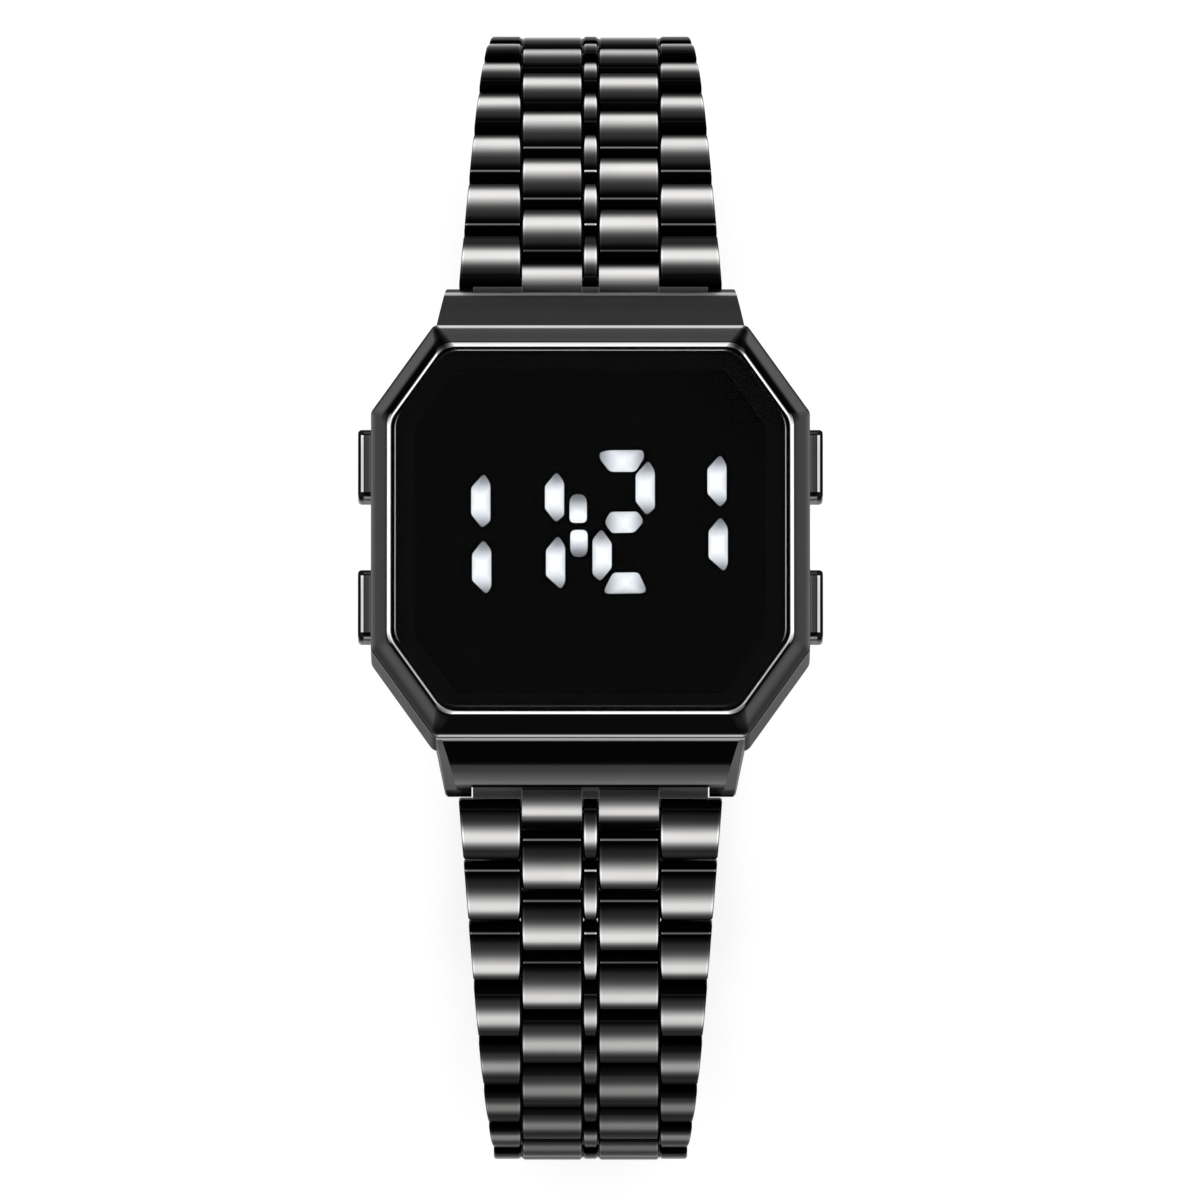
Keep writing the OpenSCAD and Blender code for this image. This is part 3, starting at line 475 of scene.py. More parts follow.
@dataclass(frozen=True)
class Moulded(Finish):
    """Plastic, rubber or laminate with speckle and a fine moulded skin."""

    colour: Colour
    roughness: float = 0.55
    speckle: float = 0.1
    scale: float = 2500.0
    relief: float = 0.15
    metallic: float = 0.0
    gloss: float = 0.5
    span: tuple[float, float] = (0.35, 0.65)
    grain: float = 0.07
    depth: float = 0.00002

    def surface(self, g: Nodes) -> dict:
        """Return a dielectric or plated surface whose colour and relief follow fine noise.

        Args:
            g: Graph of the material.

        Returns:
            The shader's inputs.
        """
        skin = g.noise(self.scale, RICH)
        low, high = (tuple(min(1.0, c * (1 + sign * self.speckle)) for c in self.colour) for sign in (-1, 1))
        return {"Metallic": self.metallic, "Specular IOR Level": self.gloss,
                "Base Color": g.cloudy(skin, low, high, self.span),
                "Roughness": g.spread(skin, self.roughness, self.grain),
                "Normal": g.bump(skin, self.relief, self.depth)}


@dataclass(frozen=True)
class DarkGlass(Finish):
    """Clear mineral glass with a faint smoky tint and a coated, weakly reflecting face."""

    name: str = "dark_glass"
    tint: Colour = (0.6, 0.61, 0.62)
    ior: float = 1.095
    haze: float = 0.01
    haze_scale: float = 700.0

    def surface(self, g: Nodes) -> dict:
        """Return clear glass with faint polishing haze, opaque and pale where the tone attribute paints a highlight
        line.
        """
        return {"Base Color": opaque(self.tint), "Transmission Weight": g.remap(g.tone("Fac"), 1.0, 0.0),
                "IOR": self.ior, "Roughness": g.spread(g.noise(self.haze_scale, PLAIN), self.haze, self.haze)}


@dataclass(frozen=True)
class LitWindow(Finish):
    """Window of a lit segment: white light that falls off where the tone attribute does."""

    name: str = "lit_window"
    strength: float = 1.78
    light: tuple[tuple[float, Colour], ...] = (
        (0.0, (0.0, 0.0, 0.0)), (0.5, (0.5, 0.52, 0.555)), (1.0, (0.96, 0.985, 1.0)))
    grain: float = 0.94
    grain_scale: float = 3000.0
    body: float = 0.1
    roughness: float = 0.6
    gloss: float = 0.1

    def surface(self, g: Nodes) -> dict:
        """Return emission whose colour follows the tone attribute and a faint diffuser grain.

        Args:
            g: Graph of the material.

        Returns:
            The shader's inputs.
        """
        speck = g.cloudy(g.noise(self.grain_scale, PLAIN), grey(self.grain), grey(1.0))
        return {"Base Color": opaque(grey(self.body)), "Roughness": self.roughness, "Specular IOR Level": self.gloss,
                "Emission Strength": self.strength,
                "Emission Color": g.mix(1.0, g.ramp(g.tone("Fac"), list(self.light)), speck, "MULTIPLY")}


MASK_PRINT = Moulded("mask_print", (0.0015, 0.0015, 0.0017), 0.6, 0.3, 1500.0, 0.05, gloss=0.02)
SEAL_RUBBER = Moulded("gasket_rubber", (0.003, 0.003, 0.003), 0.7, gloss=0.05)
BAR_STEEL = Steel("bar_steel", tone=0.4, roughness=0.25)
PIN_STEEL = Steel("pin_steel", tone=0.1, roughness=0.25)
# Finishes of the nodes that keep their own meshes
REPAINTED: dict[str, Finish] = {
    "display_mask": MASK_PRINT,
    "unlit_segments": Moulded("unlit_window", (0.0015, 0.0015, 0.0017), 0.5, 0.2, 1500.0, 0.05, gloss=0.03),
    "crystal_gasket": SEAL_RUBBER,
    "back_gasket": SEAL_RUBBER,
    "circuit_board": Moulded("board_laminate", (0.004, 0.005, 0.005), 0.5, 0.35, 900.0, gloss=0.1),
    "contact_springs": Moulded("contact_bronze", (0.72, 0.5, 0.2), 0.3, 0.1, 900.0, 0.1, 1.0),
    "module_frame": Moulded("frame_moulding", (0.006, 0.006, 0.007), 0.6, gloss=0.1),
    "battery_cell": Turned("cell_plate", 0.5, 0.25),
    "battery_strap": Steel("strap_steel", tone=0.45, roughness=0.3),
    "back_screws": Steel("screw_steel", tone=0.5, roughness=0.22),
    "spring_bar_12": BAR_STEEL,
    "spring_bar_6": BAR_STEEL,
    "clasp_link_pin": PIN_STEEL,
    "clasp_fold_pin": PIN_STEEL,
    "clasp_cover_pin": PIN_STEEL,
    "clasp_spring_bar": PIN_STEEL,
}


class Workshop:
    """Makes objects of shells or of the nodes' meshes, and puts them on their bodies in their finishes."""

    def __init__(self) -> None:
        """Start with no finishes built."""
        self.materials: dict[str, bpy.types.Material] = {}

    def finish(self, finish: Finish) -> bpy.types.Material:
        """Build a finish's material, or find it.

        Args:
            finish: The finish.

        Returns:
            Its material, which pieces of one finish share.
        """
        if finish.name not in self.materials:
            self.materials[finish.name] = finish.build()
        return self.materials[finish.name]

    def mesh(self, name: str, shells: list[Shell], sharp: float = 35.0) -> bpy.types.Object:
        """Make one object of several closed shells.

        Args:
            name: Name of the object.
            shells: Its shells, in metres in the shared frame.
            sharp: Angle in degrees past which an edge stays sharp.

        Returns:
            The new object.
        """
        faces: list[list[int]] = []
        start = 0
        for shell in shells:
            faces.extend((shell.quads + start).tolist())
            faces.extend([[i + start for i in cap] for cap in shell.caps])
            start += len(shell.points)
        data = bpy.data.meshes.new(name)
        data.from_pydata(np.concatenate([s.points for s in shells]).tolist(), [], faces)
        data.polygons.foreach_set("use_smooth", [True] * len(data.polygons))
        tone = np.concatenate([s.tone for s in shells])
        data.attributes.new("tone", "FLOAT", "POINT").data.foreach_set("value", tone.astype(np.float32))
        data.update()
        data.set_sharp_from_angle(angle=math.radians(sharp))
        return new_object(name, data)

    def copied(self, node: str, name: str, change: Callable[[bmesh.types.BMesh], None]) -> bpy.types.Object:
        """Make an object of a node's mesh, welded, changed and shaded smooth.

        Args:
            node: Node whose mesh is copied.
            name: Name of the object.
            change: What is done to the welded mesh.

        Returns:
            The new object, without a finish.
        """
        data = bpy.data.objects[node].data.copy()
        data.materials.clear()
        work = bmesh.new()
        work.from_mesh(data)
        bmesh.ops.remove_doubles(work, verts=work.verts, dist=WELD)
        change(work)
        work.to_mesh(data)
        work.free()
        data.polygons.foreach_set("use_smooth", [True] * len(data.polygons))
        data.polygons.foreach_set("material_index", [0] * len(data.polygons))
        data.set_sharp_from_angle(angle=math.radians(CREASE))
        return new_object(name, data)

    def dress(self, piece: bpy.types.Object, body: str, slot: str, finish: Finish,
              stands_for: tuple[str, ...] = ()) -> None:
        """Give a piece its finish and its body, and hide the nodes that it stands for.

        Args:
            piece: The object.
            body: Body that it rides on.
            slot: Material slot of the record; not used.
            finish: Finish to build.
            stands_for: Nodes that it replaces.
        """
        piece.data.materials.append(self.finish(finish))
        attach(piece, body)
        if stands_for:
            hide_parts(*stands_for)
        LOG.info("%s on %s, %d faces", piece.name, body, len(piece.data.polygons))

    def refined(self, node: str, body: str, slot: str, finish: Finish, bevel: float, name: str = "",
                edges: Finish | None = None, walls: Finish | None = None, inner: float = 0.0) -> None:
        """Stand a copy of a node in its place, with softened edges.

        Args:
            node: Node whose mesh is copied.
            body: Body that the copy rides on.
            slot: Material slot of the record; not used.
            finish: Finish to build.
            bevel: Width of the softened edges in metres.
            name: Name of the new piece.
            edges: Finish of the softened edges, where it isn't the piece's own.
            walls: Finish of the upright and downward faces, where it isn't the piece's own.
            inner: Half size of the octagon round the origin where edges and walls stay as they are.
        """
        def weigh(work: bmesh.types.BMesh) -> None:
            """Join flat faces and mark the edges that are softened.

            Args:
                work: Welded mesh.
            """
            bmesh.ops.dissolve_limit(work, angle_limit=FLAT, verts=work.verts, edges=work.edges)
            weight = work.edges.layers.float.new("bevel_weight_edge")
            middles = np.array([(edge.verts[0].co + edge.verts[1].co) / 2 for edge in work.edges])
            for edge, reach in zip(work.edges, octagon_reach(middles)):
                edge[weight] = float(edge.calc_face_angle(0.0) > SOFTENED and reach >= inner)

        piece = self.copied(node, name or node + "_fine", weigh)
        self.dress(piece, body, slot, finish, (node,))
        data = piece.data
        if walls:
            data.materials.append(self.finish(walls))
            normals, centres = np.empty((2, len(data.polygons), 3))
            data.polygons.foreach_get("normal", normals.reshape(-1))
            data.polygons.foreach_get("center", centres.reshape(-1))
            outer = (normals[:, 2] < WALL_RISE) & (octagon_reach(centres) >= inner)
            data.polygons.foreach_set("material_index", outer.astype(np.int32))
        if bevel > 0:
            edge = piece.modifiers.new("soft_edges", "BEVEL")
            edge.width = bevel
            edge.segments = SOFT_STEPS
            edge.limit_method = "WEIGHT"
            edge.harden_normals = True
            edge.use_clamp_overlap = True
            if edges:
                data.materials.append(self.finish(edges))
                edge.material = len(data.materials) - 1

    def repaint(self, node: str, finish: Finish) -> None:
        """Give a node that keeps its own mesh a better finish."""
        for place in bpy.data.objects[node].material_slots:
            place.material = self.finish(finish)


@dataclass
class Shell:
    """Closed surface: its points, quads, caps and its tone at each point, which on links, rim and glass is painted
    light.
    """

    points: np.ndarray
    quads: np.ndarray
    caps: list[list[int]]
    tone: np.ndarray

    @staticmethod
    def from_rings(rings: np.ndarray, tone: np.ndarray, looped: bool = False) -> Shell:
        """Skin rings of points: quad (j, i) joins ring j to ring j + 1 between points i and i + 1.

        Args:
            rings: Array of rings, points and coordinates, each ring closed on itself.
            tone: Tone of each point, by ring and point.
            looped: Whether the last ring joins the first; else both are closed by a face.

        Returns:
            The shell.
        """
        m, n, _ = rings.shape
        j = np.arange(m if looped else m - 1)[:, None]
        i = np.arange(n)[None, :]
        after, beside = (j + 1) % m, (i + 1) % n
        quads = np.stack([j * n + i, j * n + beside, after * n + beside, after * n + i], axis=-1).reshape(-1, 4)
        caps = [list(range(n - 1, -1, -1)), list(range((m - 1) * n, m * n))] if not looped else []
        return Shell(rings.reshape(-1, 3), quads, caps, np.broadcast_to(tone, (m, n)).reshape(-1).copy())

    def turned(self, turn: np.ndarray) -> Shell:
        """Return the shell under a rotation or reflection matrix, its faces turned over where that mirrors."""
        way = -1 if np.linalg.det(turn) < 0 else 1
        return Shell(self.points @ turn.T, self.quads[:, ::way], [cap[::way] for cap in self.caps], self.tone)

    def moved(self, shift: tuple[float, ...]) -> Shell:
        """Return the shell moved by a shift in metres."""
        return Shell(self.points + np.array(shift), self.quads, self.caps, self.tone)


def arc(centre: tuple[float, float], radius: float, start: float, stop: float, count: int) -> np.ndarray:
    """Return count points of a circle arc between two angles in degrees: centre + radius (cos a, sin a)."""
    a = np.radians(np.linspace(start, stop, count))
    return np.stack([centre[0] + radius * np.cos(a), centre[1] + radius * np.sin(a)], axis=1)


def unit(vectors: np.ndarray) -> np.ndarray:
    """Return vectors, one to a row, at a length of one."""
    return vectors / np.linalg.norm(vectors, axis=1, keepdims=True)


def outline_normals(outline: np.ndarray) -> np.ndarray:
    """Return outward unit normals of a closed anticlockwise outline: the chord of its neighbours, turned."""
    chord = np.roll(outline, -1, axis=0) - np.roll(outline, 1, axis=0)
    return unit(np.stack([chord[:, 1], -chord[:, 0]], axis=1))


@dataclass
class BracketedBar:
    """Bar of one section along X whose ends are softened by a quarter round and may carry a cheek in painted shade.

    Along the quarter round, from the end face to the section, the tone is multiplied by a painted glint and shade.
    """

    outline: np.ndarray
    tone: np.ndarray
    soft: float = 0.22 * MM
    steps: int = 4
    cheek: float = 0.1 * MM
    cheek_inset: float = 0.14 * MM
    cheek_reach: float = 1.17 * MM
    cheek_painted_shade: float = 0.002
    # Painted glint and shade by share of the turn, dark at the end face and brightest three quarters round
    turn_painted_glint: Stops = ((0.0, 0.03), (0.3, 0.12), (0.5, 0.8), (0.75, 1.5), (1.0, 1.0))

    def shell(self, left: tuple[float, float], right: tuple[float, float],
              cheeks: tuple[bool, bool] = (False, False)) -> Shell:
        """Skin the bar: at angle a the section is inset by soft (1 - sin a) and stands soft (1 - cos a) in.

        A cheek is a near-black lower boss on the middle half of the section, painted shade that fills the gap
        to the next piece, whose own cheeks lie before and after it.

        Args:
            left: Place and slope of the left end, x = place + slope * s.
            right: Place and slope of the right end.
            cheeks: Whether the left and the right end carry a cheek.

        Returns:
            The closed bar, in (x, s, n) coordinates.
        """
        normals = outline_normals(self.outline)
        turn = np.linspace(0, 1, self.steps + 1)
        shine = np.interp(turn, *zip(*self.turn_painted_glint))
        low = self.outline - normals * self.cheek_inset
        low[:, 0] = np.clip(low[:, 0], -self.cheek_reach, self.cheek_reach)
        # Painted shade: the cheeks are near black
        black = np.full(len(low), self.cheek_painted_shade)
        layers = []
        for (place, slope), sign, has_cheek in ((left, 1, cheeks[0]), (right, -1, cheeks[1])):
            layer = [(np.column_stack([place + slope * low[:, 0] - sign * reach, low]), black)
                     for reach in (self.cheek, 0.0)] if has_cheek else []
            for angle, share in zip(turn * math.pi / 2, shine):
                inset = self.outline - normals * self.soft * (1 - math.sin(angle))
                x = place + slope * inset[:, 0] + sign * self.soft * (1 - math.cos(angle))
                layer.append((np.column_stack([x, inset]), np.minimum(1.0, self.tone * share)))
            layers += layer[::sign]
        return Shell.from_rings(*map(np.array, zip(*layers)))


@dataclass(frozen=True)
class PaintedLinkLight:
    """Painted light along a link from its case end to its far end, as share of the length and display grey.

    The stops have their painted glare at glare_place and are painted dark before start and past stop.
    A thin painted highlight line ends the glare toward the case. Where the glare stands before early, the
    dark start is lifted.
    """

    stops: Stops = (
        (0.0, 2), (0.19, 3), (0.24, 14), (0.3, 36), (0.4, 50), (0.48, 80), (0.56, 138), (0.63, 182), (0.69, 212),
        (0.76, 214), (0.81, 196), (0.86, 125), (0.9, 70), (0.95, 34), (0.97, 40), (1.0, 4))
    glare_place: float = 0.73
    glare_shade: float = 214.0
    foot_shade: float = 45.0
    start: float = 0.2
    stop: float = 0.95
    fall: float = 0.27
    early: float = 0.62
    early_span: float = 0.2
    early_shade: float = 14.0
    early_rise: float = 0.08
    line_place: float = 0.135
    line_blur: float = 0.012
    line_reach: float = 1.6
    line_limit: float = 250.0

    def tone(self, share: np.ndarray, glare: np.ndarray, spark: float) -> np.ndarray:
        """Return the painted highlight and shade along a piece, as tone.

        The stops are stretched so that their glare stands at the wanted share, and their greys above
        foot_shade are drawn together so that the glare has the wanted grey.

        Args:
            share: Places as shares of the link's length.
            glare: Share and grey of the glare, and grey of the thin line.
            spark: Factor on the thin line's grey.

        Returns:
            Linear tone at each place.
        """
        peak, shade, line = glare
        places = (0.0, self.start * peak / self.glare_place, peak, min(peak + self.fall, self.stop), 1.0)
        template = np.interp(share, places, (0.0, self.start, self.glare_place, self.stop, 1.0))
        shades = np.interp(template, *zip(*self.stops))
        foot = self.foot_shade
        scaled = foot + (shades - foot) * (shade - foot) / (self.glare_shade - foot)
        lift = np.clip((self.early - peak) / self.early_span, 0, 1) * self.early_shade
        thin = np.clip(self.line_reach - np.abs(share - self.line_place) / self.line_blur, 0, 1)
        shades = np.where(shades > foot, scaled, shades)
        shades = np.maximum(shades, lift * np.clip(share / self.early_rise, 0, 1))
        shades = np.maximum(shades, thin * min(self.line_limit, line * spark))
        return np.interp(shades, np.arange(256), [level(v) for v in range(256)])


@dataclass
class Bracelet:
    """Link bracelet: thirteen rows on each side of the case, each row on its own body.

    The middles of a row's pieces lie at two shares of the pitch from the row's hinge, first those of
    the outer and centre pieces, then those of the middle ones. A pin lies a quarter pitch before each.
    """

    workshop: Workshop
    pitch: float = 4.8 * MM
    centre_width: float = 1.1 * MM
    centre_spark: float = 1.8
    # Factor on the grey of the centre pieces' painted highlight line
    mid_width: float = 4.6 * MM
    column_gap: float = 0.1 * MM
    row_gap: float = 0.15 * MM
    crown_height: float = 1.4 * MM
    crown_fall: float = 0.42 * MM
    shoulder: float = 0.3 * MM
    pin_radius: float = 0.4 * MM
    pin_soft: float = 0.08 * MM
    pin_inset: float = 0.3 * MM
    round_points: int = 7
    crown_points: int = 90
    pin_points: int = 24
    width: float = 20.2 * MM
    end_width: float = 14.9 * MM
    taper_rows: float = 7.0
    rows: int = 13
    middles: tuple[float, float] = (0.25, 0.75)
    painted_link_light: PaintedLinkLight = PaintedLinkLight()
    finish: Steel = Steel("link_steel", roughness=0.24, painted_light=True)

    def half_width(self, t: float) -> float:
        """Return half the bracelet's width, t rows from the case: it narrows evenly, then stays."""
        return max(self.end_width, self.width - (self.width - self.end_width) * t / self.taper_rows) / 2

    def section(self) -> np.ndarray:
        """Draw a link's section: round ends about its pins, upright walls and a crowned top.

        Returns:
            Points (s, n), anticlockwise.
        """
        quarter = self.pitch / 4
        end = quarter - self.row_gap / 2
        half = 2 * quarter - self.row_gap / 2
        crown = (half ** 2 + self.crown_fall ** 2) / (2 * self.crown_fall)
        centre = self.crown_height - crown
        out = half - self.shoulder
        up = centre + math.sqrt((crown - self.shoulder) ** 2 - out ** 2)
        lean = math.degrees(math.asin(out / (crown - self.shoulder)))
        return np.concatenate([
            arc((-quarter, 0.0), end, 180, 270, self.round_points),
            arc((quarter, 0.0), end, 270, 360, self.round_points),
            arc((out, up), self.shoulder, 0, 90 - lean, self.round_points),
            arc((0.0, centre), crown, 90 - lean, 90 + lean, self.crown_points)[1:-1],
            arc((-out, up), self.shoulder, 90 + lean, 180, self.round_points),
        ])

    def bar(self, centre: float, left: float, right: float, glare: np.ndarray, slope: float = 0.0,
            spark: float = 1.0, free: bool = False) -> Shell:
        """Return one piece of a row.

        Args:
            centre: Its middle along the row, from the row's pin.
            left: Place of its left end at its middle.
            right: Place of its right end at its middle.
            glare: Share and grey of its glare, and grey of its thin line.
            slope: Rise of the right end's place along the row.
            spark: Factor on the thin line's grey.
            free: Whether its right end is the bracelet's own side.

        Returns:
            The shell in (x, s, n) coordinates of the row.
        """
        section = self.section()
        share = 0.5 + section[:, 0] / (self.pitch - self.row_gap)
        bar = BracketedBar(section, self.painted_link_light.tone(share, glare, spark))
        return bar.shell((left, 0.0), (right, slope), (True, not free)).moved((0.0, centre, 0.0))

    def pin(self, way: float, reach: float) -> Shell:
        """Return a pin with softened ends.

        Args:
            way: Its distance along the row.
            reach: Half its length.

        Returns:
            The shell in (x, s, n) coordinates of the row.
        """
        outline = arc((0.0, 0.0), self.pin_radius, 0, 360, self.pin_points + 1)[:-1]
        bar = BracketedBar(outline, np.ones(self.pin_points), self.pin_soft)
        return bar.shell((-reach, 0.0), (reach, 0.0)).moved((0.0, way, 0.0))

    def row(self, number: int, side: Side) -> tuple[list[Shell], list[Shell]]:
        """Return the shells of one row, pieces first and then pins, before its place.

        Args:
            number: Row from the case, from one.
            side: Half of the bracelet.

        Returns:
            Link pieces and pins.
        """
        quarter = self.pitch / 4
        centre_half = self.centre_width / 2
        mid_in = centre_half + self.column_gap
        mid_out = mid_in + self.mid_width
        near, far = self.half_width(number - 1), self.half_width(number)
        rows, *values = zip(*GLARES[side])
        early, late = (np.array([np.interp(number - 1 + t, rows, v) for v in values]) for t in self.middles)
        outer = self.bar(quarter, mid_out + self.column_gap, (near + far) / 2, early, (far - near) / self.pitch,
                         free=True)
        middle = self.bar(3 * quarter, mid_in, mid_out, late)
        centre = self.bar(quarter, -centre_half, centre_half, early, spark=self.centre_spark)
        flip = np.diag([-1.0, 1.0, 1.0])
        pins = [self.pin(share * self.pitch - quarter, self.half_width(number - 1 + share) - self.pin_inset)
                for share in self.middles]
        return [outer, outer.turned(flip), centre, middle, middle.turned(flip)], pins

    def pin_places(self, side: Side) -> np.ndarray:
        """Read one side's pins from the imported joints.

        Args:
            side: Half of the bracelet.

        Returns:
            Their (y, z), from the case outward, and then that of the last row's end.
        """
        joints = {joint["name"]: joint["pos_m"][1:] for joint in frame["joints"]}
        along, height = joints["clasp_link_hinge"]
        names = ["link_%s_%02d_hinge" % (side.hour, number) for number in range(1, self.rows + 1)]
        return np.array([joints[name] for name in names] + [[abs(along) * side.value, height]])

    def build(self) -> None:
        """Build every row and put it on its body: (s, n) turn with the row's direction about X."""
        for side in Side:
            places = self.pin_places(side)
            for number, (start, stop) in enumerate(zip(places, places[1:]), 1):
                way = (stop - start) / np.linalg.norm(stop - start)
                out = np.array([-way[1], way[0]]) * side.value
                turn = np.array([[1.0, 0.0, 0.0], [0.0, way[0], out[0]], [0.0, way[1], out[1]]])
                node = "link_%s_%02d" % (side.hour, number)
                links, pins = self.row(number, side)
                for name, shells, slot, finish in (("_links", links, "link", self.finish),
                                                   ("_pins", pins, "pin", PIN_STEEL)):
                    shells = [shell.turned(turn).moved((0.0, *start)) for shell in shells]
                    piece = self.workshop.mesh(node + name, shells)
                    self.workshop.dress(piece, node, slot, finish, (node,))


@dataclass
class Octagon:
    """Outline with four cut corners: half sizes less an inset, and softened corners.

    The radius of the corners grows from corner_outer at no inset to corner_inner at inner_inset.
    The sides belong to five kinds, which Octagon.shell names, each with greys of painted light of its own,
    and that painted light is darker at the corners.
    """

    base: float
    width: float = 33.6 * MM
    length: float = 32.0 * MM
    cut_x: float = 4.8 * MM
    cut_y: float = 6.75 * MM
    corner_outer: float = 0.6 * MM
    corner_inner: float = 1.9 * MM
    inner_inset: float = 1.6 * MM
    steps: int = 8
    kinds: tuple[int, ...] = (1, 2, 0, 2, 1, 3, 4, 3)
    # How much the painted light is darkened across each corner's arc
    dimmed: tuple[float, ...] = (0.2, 0.97, 0.97, 0.2, 0.15, 0.7, 0.7, 0.15)

    def outline(self, inset_x: float, inset_y: float) -> np.ndarray:
        """Return the outline: each corner becomes an arc that touches both of its sides.

        Args:
            inset_x: Inset of the 9 and 3 o'clock sides.
            inset_y: Inset of the 12 and 6 o'clock sides.

        Returns:
            Points, anticlockwise.
        """
        radius = np.interp(inset_x, (0.0, self.inner_inset), (self.corner_outer, self.corner_inner))
        normal = np.array([self.cut_y, self.cut_x]) / math.hypot(self.cut_x, self.cut_y)
        reach = normal @ np.array([self.width / 2, self.length / 2 - self.cut_y]) - (inset_x + inset_y) / 2
        hx, hy = self.width / 2 - inset_x, self.length / 2 - inset_y
        y1, x1 = (reach - normal[0] * hx) / normal[1], (reach - normal[1] * hy) / normal[0]
        corners = np.array([[hx, y1], [x1, hy], [-x1, hy], [-hx, y1], [-hx, -y1], [-x1, -hy], [x1, -hy], [hx, -y1]])
        back, ahead = (unit(np.roll(corners, shift, axis=0) - corners) for shift in (1, -1))
        half = np.arccos(np.clip((back * ahead).sum(axis=1), -1, 1)) / 2
        centres = corners + unit(back + ahead) * (radius / np.sin(half))[:, None]
        start = corners + back * (radius / np.tan(half))[:, None] - centres
        angle = (math.pi - 2 * half)[:, None] * np.linspace(0, 1, self.steps + 1)[None, :]
        cos, sin = np.cos(angle), np.sin(angle)
        x = centres[:, None, 0] + start[:, None, 0] * cos - start[:, None, 1] * sin
        y = centres[:, None, 1] + start[:, None, 0] * sin + start[:, None, 1] * cos
        return np.stack([x, y], axis=-1).reshape(-1, 2)

    def shell(self, section: Layers, looped: bool = False) -> Shell:
        """Skin outlines at several heights.

        Args:
            section: Height, inset at the sides and inset at the ends of each layer, then its display
                grey, painted light, on the upper band, sides, upper cut corners, lower cut corners and lower band.
            looped: Whether the last layer joins the first.

        Returns:
            The shell.
        """
        rings = []
        for height, inset_x, inset_y, *_ in section:
            flat = self.outline(inset_x * MM, inset_y * MM)
            rings.append(np.column_stack([flat, np.full(len(flat), self.base + height * MM)]))
        tones = np.array([[level(v) for v in layer[3:]] for layer in section]) @ self.shares()
        return Shell.from_rings(np.array(rings), tones, looped)

    def shares(self) -> np.ndarray:
        """Share the outline's points out among the kinds of side.

        Along a corner's arc the share passes from one kind to the next, and both are painted darker.

        Returns:
            A row to each kind with how much each point belongs to it.
        """
        kinds, dim = np.array(self.kinds), np.array(self.dimmed)
        count = kinds.max() + 1
        blend = np.linspace(0, 1, self.steps + 1)
        before, after = np.eye(count)[kinds], np.eye(count)[np.roll(kinds, -1)]
        shares = before[:, None, :] * (1 - blend)[None, :, None] + after[:, None, :] * blend[None, :, None]
        shares *= 1 - dim[:, None, None] * np.sqrt(np.abs(np.sin(math.pi * blend)))[None, :, None]
        return shares.reshape(-1, count).T


